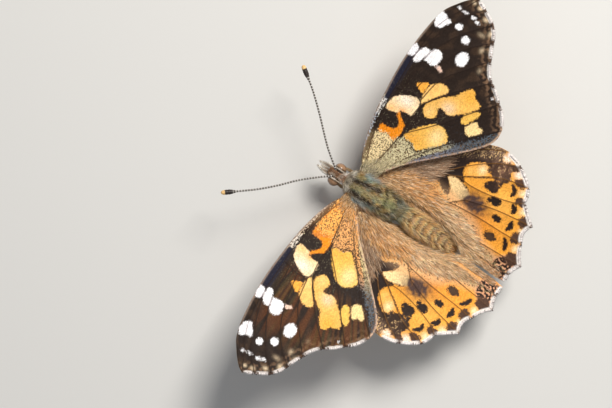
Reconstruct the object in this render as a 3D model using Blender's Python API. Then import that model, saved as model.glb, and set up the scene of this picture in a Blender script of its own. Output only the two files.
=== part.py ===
"""Painted lady butterfly, life size, standing on its four walking legs with its wings spread.

Sizes are in millimetres while the shapes are made, and the finished meshes are scaled to metres.
The head faces -Y, the rear is +Y, the butterfly's left is +X and up is +Z.
While it is built, the origin is at the middle of the thorax, and seat_on_floor moves it to the floor.
"""

import math

import bmesh
import bpy
from mathutils import Matrix, Vector, geometry

MM = 0.001
LEFT = 1
RIGHT = -1

# Driving dimensions, in millimetres unless the name says otherwise
GAP = 0.3
FLOOR = -6.5
MEMBRANE = 0.5
VEIN_RISE = 0.14
VEIN_HALF_WIDTH = 0.36
OUTLINE_STEP = 1.6
VEIN_STEP = 1.9
FILL_STEP = 2.3
FILL_CLEARANCE = 0.85
SHORTEST_EDGE = 0.16

FOREWING_HINGE = (2.75, 0.8, 1.75)
FOREWING_DIHEDRAL = math.radians(17)
HINDWING_HINGE = (2.5, 4.4, 0.6)
HINDWING_DIHEDRAL = math.radians(15)
# The pair of hindwings is swung a little towards the butterfly's left
HINDWING_SWING = math.radians(2.6)

# Forewing outline in the wing's own plane: out along the wing, then back towards the rear
FOREWING_ROOT_FRONT = (-1.3, -1.1)
FOREWING_ROOT_REAR = (-1.3, 1.1)
FOREWING_COSTA = [(0.0, -1.35), (1.2, -2.05), (3.4, -2.85), (7.0, -3.7), (11.0, -4.2), (16.0, -4.5),
                  (21.0, -4.2), (24.8, -3.5), (27.0, -2.25), (28.5, -1.0)]
FOREWING_VEIN_ENDS = {
    "radius_4": (29.15, -0.05),
    "radius_5": (28.5, 1.55),
    "media_1": (27.3, 3.6),
    "media_2": (25.2, 5.05),
    "media_3": (22.9, 6.1),
    "cubitus_1": (20.3, 7.9),
    "cubitus_2": (18.3, 10.35),
    "anal": (15.3, 12.6),
}
# How far the margin bulges out between each vein end and the next
FOREWING_BULGES = [0.1, 0.05, 0.1, -0.1, -0.25, 0.12, 0.35]
FOREWING_INNER_MARGIN = [(13.7, 12.65), (11.9, 11.8), (9.3, 9.5), (6.4, 6.65), (3.6, 3.9), (1.3, 2.1)]

# Forewing veins: the points each passes through before its end on the margin
FOREWING_VEINS = {
    "radius_4": [(0.8, -1.1), (4.5, -2.3), (9.5, -3.1), (13.0, -3.3), (18.0, -3.4), (23.0, -2.9),
                 (27.0, -1.1)],
    "radius_5": [(18.0, -3.4), (22.0, -2.2), (25.5, -0.7)],
    "media_1": [(12.6, -2.3), (15.5, -2.1), (19.3, -1.75), (23.8, 0.55)],
    "media_2": [(13.0, -0.9), (18.6, 0.25), (22.3, 2.1)],
    "media_3": [(12.6, 0.65), (16.4, 1.4), (19.4, 3.3)],
    "cubitus_1": [(0.8, -0.05), (3.5, 0.5), (7.0, 0.95), (11.6, 1.05), (15.5, 3.45), (18.3, 5.9)],
    "cubitus_2": [(7.0, 0.95), (11.1, 4.6), (13.4, 6.4), (16.0, 8.4)],
    "anal": [(0.8, 1.05), (4.0, 3.1), (6.5, 4.95), (9.5, 7.3), (12.0, 9.4)],
}
FOREWING_CELL_END = [(12.4, -3.25), (12.6, -2.3), (13.0, -0.9), (12.6, 0.65), (11.6, 1.05)]

# Hindwing outline in the wing's own plane
HINDWING_ROOT_FRONT = (-1.4, -1.6)
HINDWING_COSTA = [(0.6, -2.3), (3.4, -1.6), (6.6, 0.6), (9.8, 3.6), (12.2, 6.6), (13.5, 9.0)]
HINDWING_VEIN_ENDS = {
    "subcosta": (13.9, 10.8),
    "radius": (13.25, 13.6),
    "media_1": (11.4, 16.3),
    "media_2": (9.3, 17.15),
    "media_3": (6.95, 20.05),
    "cubitus_1": (4.1, 20.25),
    "cubitus_2": (1.3, 22.1),
}
HINDWING_BULGES = [0.15, 0.1, 0.15, -0.05, -0.6, -0.25]
HINDWING_VEINS = {
    "subcosta": [(0.9, -0.9), (4.0, 0.7), (8.0, 3.6), (11.8, 7.4)],
    "radius": [(0.9, 0.15), (3.4, 2.6), (5.6, 4.6), (8.6, 7.1), (11.2, 10.0)],
    "media_1": [(5.6, 4.6), (6.9, 7.2), (8.1, 9.0), (9.75, 11.4), (10.7, 13.8)],
    "media_2": [(6.9, 7.2), (6.75, 9.4), (7.3, 12.6), (8.4, 15.9)],
    "media_3": [(4.6, 9.9), (5.35, 12.1), (6.1, 14.8), (6.6, 17.5)],
    "cubitus_1": [(0.9, 1.3), (2.0, 4.5), (3.0, 8.3), (3.55, 12.5), (3.85, 17.5)],
    "cubitus_2": [(2.0, 4.5), (1.15, 8.5), (0.65, 13.2), (0.95, 18.0)],
    "anal": [(0.3, 3.8), (-0.1, 8.5), (-0.6, 14.0), (-0.9, 18.5)],
}
HINDWING_CELL_END = [(3.0, 8.3), (4.6, 9.9)]
HINDWING_ANAL_END = (-0.75, 21.35)
HINDWING_REAR = 21.35
# The slit between the hindwings at the rear lies a little left of the middle
SLIT_GAP = 0.4
SLIT_SIDE_AT_ABDOMEN = 0.3
SLIT_SIDE_AT_REAR = 0.72
SLIT_REAR = 25.7
FOLD_DIP = 0.9
FOLD_WIDTH = 2.6

# Body sections: rear position, middle height, half width, height above and below the middle
THORAX_SECTIONS = [
    (-1.45, -0.45, 1.15, 1.1, 1.0),
    (-1.0, -0.35, 1.75, 1.75, 1.5),
    (-0.2, -0.2, 2.45, 2.35, 2.1),
    (1.2, -0.1, 2.9, 2.75, 2.55),
    (2.8, -0.05, 3.0, 2.85, 2.65),
    (4.6, -0.05, 2.8, 2.6, 2.5),
    (6.0, -0.05, 2.35, 2.1, 2.05),
    (7.1, -0.05, 1.75, 1.6, 1.6),
    (7.6, -0.05, 1.3, 1.3, 1.3),
]
TEGULA_REAR = 1.0
TEGULA_ANGLE = math.radians(42)
TEGULA_RISE = 0.22
TEGULA_LENGTH = 1.5
TEGULA_SPREAD = math.radians(17)
THORAX_POINTS = 28
THORAX_RINGS = 18

ABDOMEN_START = 7.9
ABDOMEN_LENGTH = 9.6
ABDOMEN_DROP = 1.9
ABDOMEN_DRIFT = 0.035
ABDOMEN_HALF_WIDTHS = [(0.0, 1.2), (0.1, 1.45), (0.35, 1.62), (0.6, 1.45), (0.8, 1.1), (0.93, 0.72),
                       (1.0, 0.3)]
ABDOMEN_HEIGHT_SHARE = 1.02
ABDOMEN_SEGMENTS = 8
ABDOMEN_GROOVE = 0.09
ABDOMEN_POINTS = 22
RINGS_PER_SEGMENT = 3

HEAD_SECTIONS = [
    (-1.75, -0.45, 0.85, 0.75, 0.75),
    (-2.2, -0.42, 1.02, 1.0, 1.0),
    (-2.8, -0.42, 0.98, 1.12, 1.15),
    (-3.4, -0.48, 0.9, 1.05, 1.1),
    (-3.9, -0.58, 0.68, 0.8, 0.85),
    (-4.15, -0.62, 0.35, 0.42, 0.45),
]
HEAD_POINTS = 20
HEAD_RINGS = 11
# The head is held a little to the left of the thorax's middle
HEAD_SIDE = 0.25
EYE_CENTRE = (0.93, -2.8, -0.38)
EYE_RADII = (0.84, 0.9, 1.02)
EYE_SEGMENTS = 20
EYE_RINGS = 12

ANTENNA_RADIUS = 0.25
CLUB_RADIUS = 0.42
CLUB_LENGTH = 2.0
ANTENNA_TIP_RADIUS = 0.2
ANTENNA_STEPS = 22
ANTENNA_ROUTES = {
    RIGHT: [(0.23, -3.3, 0.1), (0.96, -4.3, 0.75), (1.95, -5.6, 1.1), (3.15, -6.95, 1.45),
            (5.75, -9.65, 2.15), (7.95, -12.15, 2.75), (9.3, -14.0, 3.15), (10.15, -15.2, 3.4)],
    LEFT: [(0.68, -3.2, 0.1), (1.17, -3.75, 0.7), (2.05, -4.9, 1.05), (3.95, -7.05, 1.6),
           (6.08, -9.06, 2.1), (8.05, -11.15, 2.57), (9.8, -13.35, 3.0), (11.3, -15.3, 3.4)],
}

PALP_ROUTE = [(0.5, -3.2, -1.2), (0.58, -4.3, -1.15), (0.56, -5.1, -0.85), (0.42, -5.85, -0.35)]
PALP_RADII = [0.4, 0.42, 0.4, 0.24]
COIL_CENTRE = (HEAD_SIDE, -3.35, -2.85)
COIL_RADIUS = 0.8
COIL_THICKNESS = 0.5
COIL_TURNS = 3
COIL_GROOVE = 0.07

# Leg routes from inside the thorax to the foot: side, rear, height
FOOT_HEIGHT = FLOOR + 0.2
LEG_ROUTES = {
    "midleg": [(1.1, 2.1, -1.8), (1.75, 1.9, -2.9), (3.6, 0.4, -1.7), (5.0, -0.5, -1.2),
               (5.9, -0.35, -3.4), (6.75, -0.1, -5.9), (7.3, -0.5, FOOT_HEIGHT),
               (8.0, -1.05, FOOT_HEIGHT), (8.7, -1.6, FOOT_HEIGHT)],
    "hindleg": [(1.0, 4.6, -1.7), (1.55, 4.9, -2.8), (3.5, 6.4, -1.9), (5.2, 7.6, -1.4),
                (6.1, 9.6, -3.6), (6.95, 11.6, -5.9), (7.25, 12.4, FOOT_HEIGHT),
                (7.65, 13.5, FOOT_HEIGHT), (8.0, 14.7, FOOT_HEIGHT)],
    "foreleg": [(0.75, -0.3, -1.7), (1.15, -0.6, -2.75), (1.3, -1.6, -2.95), (1.1, -2.7, -2.6)],
}
LEG_RADII = {
    "midleg": [0.42, 0.42, 0.38, 0.34, 0.3, 0.3, 0.28, 0.27, 0.25],
    "hindleg": [0.42, 0.42, 0.38, 0.34, 0.3, 0.3, 0.28, 0.27, 0.25],
    "foreleg": [0.36, 0.36, 0.34, 0.25],
}
LEG_STEPS_PER_SPAN = 3

# Colours of the parts
DARK_BROWN = (0.035, 0.022, 0.014)
OLIVE_BROWN = (0.19, 0.15, 0.085)
ORANGE = (0.78, 0.29, 0.05)
TAN = (0.5, 0.29, 0.13)
EYE_BROWN = (0.06, 0.035, 0.025)
CREAM = (0.62, 0.5, 0.36)


def clear_scene():
    """Remove what the scene holds, so that the script starts from nothing."""
    for thing in list(bpy.data.objects):
        bpy.data.objects.remove(thing)


def new_collection(name):
    collection = bpy.data.collections.new(name)
    bpy.context.scene.collection.children.link(collection)
    return collection


def new_material(name, colour, roughness):
    material = bpy.data.materials.new(name)
    material.use_nodes = True
    shader = material.node_tree.nodes["Principled BSDF"]
    shader.inputs["Base Color"].default_value = (*colour, 1.0)
    shader.inputs["Roughness"].default_value = roughness
    shader.inputs["Metallic"].default_value = 0.0
    return material


def new_object(name, mesh, collection):
    thing = bpy.data.objects.new(name, mesh)
    collection.objects.link(thing)
    return thing


def mesh_of(name, points, faces):
    mesh = bpy.data.meshes.new(name)
    mesh.from_pydata(points, [], faces)
    mesh.update()
    return mesh


def smooth_value(pairs, at):
    """Read a smooth curve through (position, value) pairs, as a monotone cubic."""
    if at <= pairs[0][0]:
        return pairs[0][1]
    if at >= pairs[-1][0]:
        return pairs[-1][1]
    slopes = []
    for (x0, y0), (x1, y1) in zip(pairs, pairs[1:]):
        slopes.append((y1 - y0) / (x1 - x0))
    tangents = [slopes[0]]
    for before, after in zip(slopes, slopes[1:]):
        same_way = before * after > 0
        tangents.append(2 * before * after / (before + after) if same_way else 0.0)
    tangents.append(slopes[-1])
    span = next(i for i in range(len(slopes)) if at <= pairs[i + 1][0])
    x0, y0 = pairs[span]
    x1, y1 = pairs[span + 1]
    width = x1 - x0
    t = (at - x0) / width
    start = (1 + 2 * t) * (1 - t) ** 2 * y0 + t * (1 - t) ** 2 * width * tangents[span]
    end = t * t * (3 - 2 * t) * y1 + t * t * (t - 1) * width * tangents[span + 1]
    return start + end


def curve_through(points, steps_per_span=None, step_length=None):
    """Points along a Catmull-Rom curve through the given points, in two or three dimensions."""
    route = [Vector(p) for p in points]
    ends = [route[0] * 2 - route[1], *route, route[-1] * 2 - route[-2]]
    result = []
    for i in range(1, len(ends) - 2):
        p0, p1, p2, p3 = ends[i - 1 : i + 3]
        steps = steps_per_span or max(1, round((p2 - p1).length / step_length))
        for k in range(steps):
            t = k / steps
            point = p1 * 2 + (p2 - p0) * t + (p0 * 2 - p1 * 5 + p2 * 4 - p3) * t**2
            point += (p1 * 3 - p0 - p2 * 3 + p3) * t**3
            result.append(point / 2)
    result.append(route[-1])
    return result


def scalloped_margin(ends, bulges, steps=4):
    """The wing's outer margin: a shallow arc from each vein end to the next."""
    ends = [Vector(p) for p in ends]
    result = [ends[0]]
    for start, end, bulge in zip(ends, ends[1:], bulges):
        along = end - start
        outward = Vector((along.y, -along.x)).normalized()
        for k in range(1, steps + 1):
            t = k / steps
            result.append(start + along * t + outward * bulge * 4 * t * (1 - t))
    return result


def distance_to_path(point, path):
    """Distance to a polyline, and how far along it the nearest place is, from 0 to 1."""
    nearest = 1e9
    share = 0.0
    for i, (start, end) in enumerate(zip(path, path[1:])):
        along = end - start
        t = max(0.0, min(1.0, (point - start).dot(along) / along.length_squared))
        distance = (point - start - along * t).length
        if distance < nearest:
            nearest = distance
            share = (i + t) / (len(path) - 1)
    return nearest, share


def vein_half_width(share):
    """A vein is widest at the wing's root and narrows towards the margin."""
    return VEIN_HALF_WIDTH * (1.0 - 0.3 * share)


def ridge_height(point, veins):
    """How far the vein ridges lift the wing's face at a point of the wing's plane."""
    height = 0.0
    for path in veins:
        distance, share = distance_to_path(point, path)
        height = max(height, VEIN_RISE * (1.0 - distance / vein_half_width(share)))
    return height


def vein_sides(path, others):
    """The two foot lines of a vein's ridge, broken where another vein runs close by."""
    lines = []
    for side in (1, -1):
        line = []
        for i in range(1, len(path) - 1):
            along = (path[i + 1] - path[i - 1]).normalized()
            width = vein_half_width(i / (len(path) - 1))
            point = path[i] + Vector((-along.y, along.x)) * side * width
            crowded = any(distance_to_path(point, other)[0] < width * 1.3 for other in others)
            if crowded:
                lines.append(line)
                line = []
            else:
                line.append(point)
        lines.append(line)
    return [line for line in lines if len(line) > 1]


class PlanarNet:
    """Points and lines of a flat drawing, with points that nearly coincide shared."""

    def __init__(self):
        self.points = []
        self.edges = []

    def add_point(self, point):
        for i, known in enumerate(self.points):
            if (known - point).length < SHORTEST_EDGE:
                return i
        self.points.append(point.copy())
        return len(self.points) - 1

    def add_line(self, line):
        indices = [self.add_point(p) for p in line]
        for a, b in zip(indices, indices[1:]):
            if a != b:
                self.edges.append((a, b))
        return indices

    def is_clear(self, point, clearance):
        return all((known - point).length > clearance for known in self.points)


def inside(point, outline):
    """Whether a point lies inside a closed outline, by counting crossings."""
    result = False
    for a, b in zip(outline, outline[1:] + outline[:1]):
        if (a.y > point.y) != (b.y > point.y):
            crossing = a.x + (point.y - a.y) * (b.x - a.x) / (b.y - a.y)
            if crossing > point.x:
                result = not result
    return result


def wing_triangles(outline, veins):
    """Split the wing's plane into triangles that follow its outline and its veins."""
    net = PlanarNet()
    boundary = net.add_line(outline + outline[:1])[:-1]
    for path in veins:
        net.add_line(path)
    for path in veins:
        others = [other for other in veins if other is not path]
        for line in vein_sides(path, others):
            if all(inside(p, outline) for p in line):
                net.add_line(line)
    low = Vector((min(p.x for p in outline), min(p.y for p in outline)))
    high = Vector((max(p.x for p in outline), max(p.y for p in outline)))
    row = 0
    y = low.y + FILL_STEP / 2
    while y < high.y:
        x = low.x + FILL_STEP * (0.5 if row % 2 else 1.0)
        while x < high.x:
            point = Vector((x, y))
            if inside(point, outline) and net.is_clear(point, FILL_CLEARANCE):
                net.points.append(point)
            x += FILL_STEP
        y += FILL_STEP * 0.87
        row += 1
    face = []
    for i in boundary:
        if not face or face[-1] != i:
            face.append(i)
    points, _, triangles, _, _, _ = geometry.delaunay_2d_cdt(net.points, net.edges, [face], 1, 1e-5)
    return points, [tuple(t) for t in triangles]


def wing_mesh(name, side, outline, veins, camber):
    """A membrane with its veins raised on both faces, split into like triangles above and below."""
    points, triangles = wing_triangles(outline, veins)
    top = []
    bottom = []
    for point in points:
        middle = camber(point)
        half = MEMBRANE / 2 + ridge_height(point, veins)
        top.append((side * point.x, point.y, middle + half))
        bottom.append((side * point.x, point.y, middle - half))
    count = len(points)
    upward = []
    for a, b, c in triangles:
        turn = (points[b] - points[a]).cross(points[c] - points[a])
        upward.append((a, b, c) if turn * side > 0 else (a, c, b))
    faces = list(upward)
    faces += [(c + count, b + count, a + count) for a, b, c in upward]
    directed = {edge for t in upward for edge in ((t[0], t[1]), (t[1], t[2]), (t[2], t[0]))}
    for a, b in sorted(directed):
        if (b, a) not in directed:
            faces.append((a, a + count, b + count))
            faces.append((a, b + count, b))
    return mesh_of(name, top + bottom, faces)


def wing_matrix(side, hinge, dihedral, swing):
    """Where a wing's own plane lies on the body. Positive swing takes the tip to the rear."""
    place = Matrix.Translation((side * hinge[0], hinge[1], hinge[2]))
    tilt = Matrix.Rotation(-side * dihedral, 4, "Y")
    turn = Matrix.Rotation(side * swing, 4, "Z")
    return place @ tilt @ turn


def forewing_camber(point):
    """The forewing arches a little along its length, and its front edge bends down."""
    arch = 0.45 * (1.0 - ((point.x - 13.0) / 16.0) ** 2)
    front = 0.05 * max(0.0, -point.y - 2.0) ** 2
    return arch - front - 0.15


def forewing_paths():
    """The forewing's outline and the lines of its veins."""
    ends = [Vector(FOREWING_VEIN_ENDS[key]) for key in FOREWING_VEIN_ENDS]
    costa = curve_through([*FOREWING_COSTA, ends[0]], step_length=OUTLINE_STEP)
    margin = scalloped_margin(ends, FOREWING_BULGES)
    inner = curve_through([ends[-1], *FOREWING_INNER_MARGIN], step_length=OUTLINE_STEP)
    outline = [Vector(FOREWING_ROOT_FRONT), *costa[:-1], *margin, *inner[1:], Vector(FOREWING_ROOT_REAR)]
    veins = []
    for key, route in FOREWING_VEINS.items():
        veins.append(curve_through([*route, FOREWING_VEIN_ENDS[key]], step_length=VEIN_STEP))
    veins.append(curve_through(FOREWING_CELL_END, step_length=VEIN_STEP))
    return outline, veins


def abdomen_half_width(rear):
    """Half width of the abdomen at a distance along the body, without its grooves."""
    share = (rear - ABDOMEN_START) / ABDOMEN_LENGTH
    return smooth_value(ABDOMEN_HALF_WIDTHS, share)


def abdomen_middle(rear):
    """Side and height of the abdomen's middle line: it drifts to the left and droops."""
    run = max(0.0, rear - ABDOMEN_START)
    drop = ABDOMEN_DROP * (run / ABDOMEN_LENGTH) ** 1.6
    return ABDOMEN_DRIFT * run, -0.05 - drop


def hindwing_inner_side(side, rear):
    """How far from the body's middle plane a hindwing's inner margin lies, on its own side."""
    middle, _ = abdomen_middle(rear)
    beside_abdomen = abdomen_half_width(rear) + GAP + 0.1 + side * middle
    share = (rear - ABDOMEN_START - ABDOMEN_LENGTH) / (SLIT_REAR - ABDOMEN_START - ABDOMEN_LENGTH)
    slit = SLIT_SIDE_AT_ABDOMEN + (SLIT_SIDE_AT_REAR - SLIT_SIDE_AT_ABDOMEN) * share
    beside_slit = SLIT_GAP / 2 + side * slit
    blend = max(0.0, min(1.0, (rear - 15.2) / 3.4))
    blend = blend * blend * (3 - 2 * blend)
    return beside_abdomen * (1 - blend) + beside_slit * blend


def hindwing_plane_point(side, across, rear):
    """Take a place on the body, seen from above, to the hindwing's own plane."""
    out = (across - HINDWING_HINGE[0]) / math.cos(HINDWING_DIHEDRAL)
    back = rear - HINDWING_HINGE[1]
    swing = -side * HINDWING_SWING
    x = out * math.cos(swing) + back * math.sin(swing)
    y = -out * math.sin(swing) + back * math.cos(swing)
    return Vector((x, y))


def hindwing_inner_margin(side):
    """The inner margin from the rear to the root, beside the slit and then beside the abdomen."""
    rears = [24.2, 22.6, 21.0, 19.5, 18.2, 17.0, 15.8, 14.4, 12.8, 11.2, 9.7, 8.4, 7.3]
    return [hindwing_plane_point(side, hindwing_inner_side(side, rear), rear) for rear in rears]


def hindwing_paths(side):
    """The hindwing's outline and the lines of its veins. The two sides differ at the inner margin."""
    ends = [Vector(HINDWING_VEIN_ENDS[key]) for key in HINDWING_VEIN_ENDS]
    costa = curve_through([*HINDWING_COSTA, ends[0]], step_length=OUTLINE_STEP)
    inner = hindwing_inner_margin(side)
    rear_corner = Vector((inner[0].x, HINDWING_REAR))
    anal = Vector(HINDWING_ANAL_END)
    margin = scalloped_margin([*ends, anal, rear_corner], [*HINDWING_BULGES, -0.15, 0.05])
    root_rear = hindwing_plane_point(side, HINDWING_HINGE[0] - 1.3, 6.6)
    outline = [Vector(HINDWING_ROOT_FRONT), *costa[:-1], *margin, *inner, root_rear]
    veins = []
    for key, route in HINDWING_VEINS.items():
        end = HINDWING_VEIN_ENDS.get(key, HINDWING_ANAL_END)
        veins.append(curve_through([*route, end], step_length=VEIN_STEP))
    veins.append(curve_through(HINDWING_CELL_END, step_length=VEIN_STEP))
    return outline, veins


def hindwing_camber(side):
    """The hindwing is nearly flat, and folds down beside the abdomen."""
    inner = hindwing_inner_margin(side)

    def camber(point):
        distance, share = distance_to_path(point, inner)
        near = max(0.0, 1.0 - distance / FOLD_WIDTH)
        along = max(0.0, min(1.0, (share - 0.25) / 0.3))
        return 0.1 - 0.002 * (point.x - 6.0) ** 2 - FOLD_DIP * near * near * along

    return camber


def section_at(sections, rear):
    """The body's section at a distance along it, read smoothly between the named sections."""
    return [smooth_value([(s[0], s[k]) for s in sections], rear) for k in range(1, len(sections[0]))]


def ring(across, rear, height, half_width, above, below, count, relief=None):
    """One closed section of a body part, an oval with its upper and lower halves unlike."""
    points = []
    for i in range(count):
        angle = 2 * math.pi * i / count
        reach = 1.0 + (relief(rear, angle) if relief else 0.0)
        up = math.cos(angle)
        x = across + half_width * reach * math.sin(angle)
        z = height + (above if up > 0 else below) * reach * up
        points.append((x, rear, z))
    return points


def loft(name, rings):
    """A closed skin through like rings, with a flat cap at each end."""
    count = len(rings[0])
    points = [p for one in rings for p in one]
    faces = []
    for r in range(len(rings) - 1):
        for i in range(count):
            j = (i + 1) % count
            faces.append((r * count + i, (r + 1) * count + i, (r + 1) * count + j, r * count + j))
    last = (len(rings) - 1) * count
    faces.append(tuple(range(count)))
    faces.append(tuple(reversed(range(last, last + count))))
    mesh = mesh_of(name, points, faces)
    tidy_normals(mesh)
    return mesh


def tidy_normals(mesh):
    """Turn every face of a closed mesh outwards."""
    work = bmesh.new()
    work.from_mesh(mesh)
    bmesh.ops.recalc_face_normals(work, faces=work.faces)
    work.to_mesh(mesh)
    work.free()


def tegula_relief(rear, angle):
    """The scale-like flaps that cover the forewing roots, as two low swellings."""
    total = 0.0
    for side in (LEFT, RIGHT):
        turn = math.remainder(angle - side * TEGULA_ANGLE, 2 * math.pi)
        fall = ((rear - TEGULA_REAR) / TEGULA_LENGTH) ** 2 + (turn / TEGULA_SPREAD) ** 2
        total += TEGULA_RISE / THORAX_SECTIONS[4][2] * math.exp(-fall)
    return total


def thorax_mesh(name, grow=0.0):
    first = THORAX_SECTIONS[0][0]
    last = THORAX_SECTIONS[-1][0]
    rings = []
    for i in range(THORAX_RINGS):
        rear = first + (last - first) * i / (THORAX_RINGS - 1)
        height, half_width, above, below = section_at(THORAX_SECTIONS, rear)
        place = rear + grow * (2 * i / (THORAX_RINGS - 1) - 1)
        rings.append(ring(0.0, place, height, half_width + grow, above + grow, below + grow,
                          THORAX_POINTS, tegula_relief))
    return loft(name, rings)


def head_mesh(name, grow=0.0):
    first = HEAD_SECTIONS[0][0]
    last = HEAD_SECTIONS[-1][0]
    rings = []
    for i in range(HEAD_RINGS):
        share = i / (HEAD_RINGS - 1)
        rear = first + (last - first) * share
        height, half_width, above, below = section_at(list(reversed(HEAD_SECTIONS)), rear)
        place = rear - grow * (2 * share - 1)
        rings.append(ring(HEAD_SIDE, place, height, half_width + grow, above + grow, below + grow,
                          HEAD_POINTS))
    return loft(name, rings)


def abdomen_mesh(name):
    rings = []
    total = ABDOMEN_SEGMENTS * RINGS_PER_SEGMENT
    for i in range(total + 1):
        share = i / total
        rear = ABDOMEN_START + ABDOMEN_LENGTH * share
        across, height = abdomen_middle(rear)
        within = (i % RINGS_PER_SEGMENT) / RINGS_PER_SEGMENT
        groove = ABDOMEN_GROOVE if within == 0 and 0 < i < total else 0.0
        half = abdomen_half_width(rear) - groove
        tall = half * ABDOMEN_HEIGHT_SHARE
        rings.append(ring(across, rear, height, half, tall, tall, ABDOMEN_POINTS))
    return loft(name, rings)


def tube_mesh(name, route, radii, sides=4):
    """A tapering tube with closed ends along a route, as a curve made into a mesh."""
    curve = bpy.data.curves.new(name, "CURVE")
    curve.dimensions = "3D"
    curve.bevel_depth = 1.0
    curve.bevel_resolution = sides // 2
    curve.use_fill_caps = True
    spline = curve.splines.new("POLY")
    spline.points.add(len(route) - 1)
    for point, place, radius in zip(spline.points, route, radii):
        point.co = (*place, 1.0)
        point.radius = radius
    guide = bpy.data.objects.new(name + "_route", curve)
    bpy.context.scene.collection.objects.link(guide)
    bpy.context.view_layer.update()
    evaluated = guide.evaluated_get(bpy.context.evaluated_depsgraph_get())
    mesh = bpy.data.meshes.new_from_object(evaluated)
    mesh.name = name
    bpy.data.objects.remove(guide)
    bpy.data.curves.remove(curve)
    work = bmesh.new()
    work.from_mesh(mesh)
    bmesh.ops.remove_doubles(work, verts=work.verts, dist=0.001)
    bmesh.ops.recalc_face_normals(work, faces=work.faces)
    work.to_mesh(mesh)
    work.free()
    return mesh


def keep_largest_surface(mesh):
    """Keep the largest closed surface of a mesh, by the size of its bounding box."""
    work = bmesh.new()
    work.from_mesh(mesh)
    unseen = set(work.verts)
    groups = []
    while unseen:
        stack = [unseen.pop()]
        group = [stack[0]]
        while stack:
            vertex = stack.pop()
            for edge in vertex.link_edges:
                other = edge.other_vert(vertex)
                if other in unseen:
                    unseen.remove(other)
                    group.append(other)
                    stack.append(other)
        groups.append(group)

    def extent(group):
        return sum(max(v.co[k] for v in group) - min(v.co[k] for v in group) for k in range(3))

    groups.sort(key=extent, reverse=True)
    scraps = [v for group in groups[1:] for v in group]
    bmesh.ops.delete(work, geom=scraps, context="VERTS")
    work.to_mesh(mesh)
    work.free()


def cut_away(thing, cutter_mesh, cutters):
    """Take a cutter's shape out of an object, and keep the largest piece that is left."""
    cutter = new_object(thing.name + "_cutter", cutter_mesh, cutters)
    cutter.hide_render = True
    cutter.display_type = "WIRE"
    modifier = thing.modifiers.new("clearance", "BOOLEAN")
    modifier.operation = "DIFFERENCE"
    modifier.solver = "EXACT"
    modifier.object = cutter
    bpy.context.view_layer.update()
    evaluated = thing.evaluated_get(bpy.context.evaluated_depsgraph_get())
    result = bpy.data.meshes.new_from_object(evaluated)
    thing.modifiers.remove(modifier)
    thing.data = result
    bpy.data.objects.remove(cutter)
    keep_largest_surface(result)


def cut_below_floor(mesh):
    """Cut a leg off level at the floor, which leaves a small flat under the foot."""
    work = bmesh.new()
    work.from_mesh(mesh)
    everything = list(work.verts) + list(work.edges) + list(work.faces)
    bmesh.ops.bisect_plane(work, geom=everything, plane_co=(0, 0, FLOOR), plane_no=(0, 0, -1),
                           clear_outer=True, dist=0.0001)
    rim = [edge for edge in work.edges if edge.is_boundary]
    bmesh.ops.holes_fill(work, edges=rim, sides=0)
    bmesh.ops.recalc_face_normals(work, faces=work.faces)
    work.to_mesh(mesh)
    work.free()


def shade_round(mesh):
    mesh.shade_smooth()
    mesh.set_sharp_from_angle(angle=math.radians(40))


def finish_part(name, mesh, material, parts):
    """Link a finished part under its own name, with its own material."""
    thing = new_object(name, mesh, parts)
    thing.data.materials.clear()
    thing.data.materials.append(material)
    return thing


def side_name(side):
    return "left" if side == LEFT else "right"


def make_body(parts):
    thorax_look = new_material("thorax_hair", OLIVE_BROWN, 0.9)
    thorax = finish_part("thorax", thorax_mesh("thorax"), thorax_look, parts)
    abdomen_look = new_material("abdomen_hair", TAN, 0.85)
    abdomen = finish_part("abdomen", abdomen_mesh("abdomen"), abdomen_look, parts)
    head_look = new_material("head_hair", TAN, 0.85)
    head = finish_part("head", head_mesh("head"), head_look, parts)
    return [thorax, abdomen, head]


def make_wings(parts, cutters):
    """Two forewings and two hindwings, each cut clear of the thorax at its root."""
    made = []
    outline, veins = forewing_paths()
    for side in (LEFT, RIGHT):
        name = "forewing_" + side_name(side)
        mesh = wing_mesh(name, side, outline, veins, forewing_camber)
        mesh.transform(wing_matrix(side, FOREWING_HINGE, FOREWING_DIHEDRAL, 0.0))
        wing = finish_part(name, mesh, new_material(name, ORANGE, 0.7), parts)
        cut_away(wing, thorax_mesh("thorax_clearance", GAP), cutters)
        made.append(wing)
    for side in (LEFT, RIGHT):
        name = "hindwing_" + side_name(side)
        outline, veins = hindwing_paths(side)
        mesh = wing_mesh(name, side, outline, veins, hindwing_camber(side))
        swing = -side * HINDWING_SWING
        mesh.transform(wing_matrix(side, HINDWING_HINGE, HINDWING_DIHEDRAL, swing))
        wing = finish_part(name, mesh, new_material(name, ORANGE, 0.7), parts)
        cut_away(wing, thorax_mesh("thorax_clearance", GAP), cutters)
        made.append(wing)
    return made


def make_eyes(parts, cutters):
    """Two bulging oval eyes, each following the side of the head at a small gap."""
    made = []
    for side in (LEFT, RIGHT):
        name = "eye_" + side_name(side)
        work = bmesh.new()
        bmesh.ops.create_uvsphere(work, u_segments=EYE_SEGMENTS, v_segments=EYE_RINGS, radius=1.0)
        mesh = bpy.data.meshes.new(name)
        work.to_mesh(mesh)
        work.free()
        mesh.transform(Matrix.Diagonal((*EYE_RADII, 1.0)))
        mesh.transform(Matrix.Translation((HEAD_SIDE + side * EYE_CENTRE[0], EYE_CENTRE[1], EYE_CENTRE[2])))
        eye = finish_part(name, mesh, new_material(name, EYE_BROWN, 0.25), parts)
        cut_away(eye, head_mesh("head_clearance", GAP), cutters)
        made.append(eye)
    return made


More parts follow.
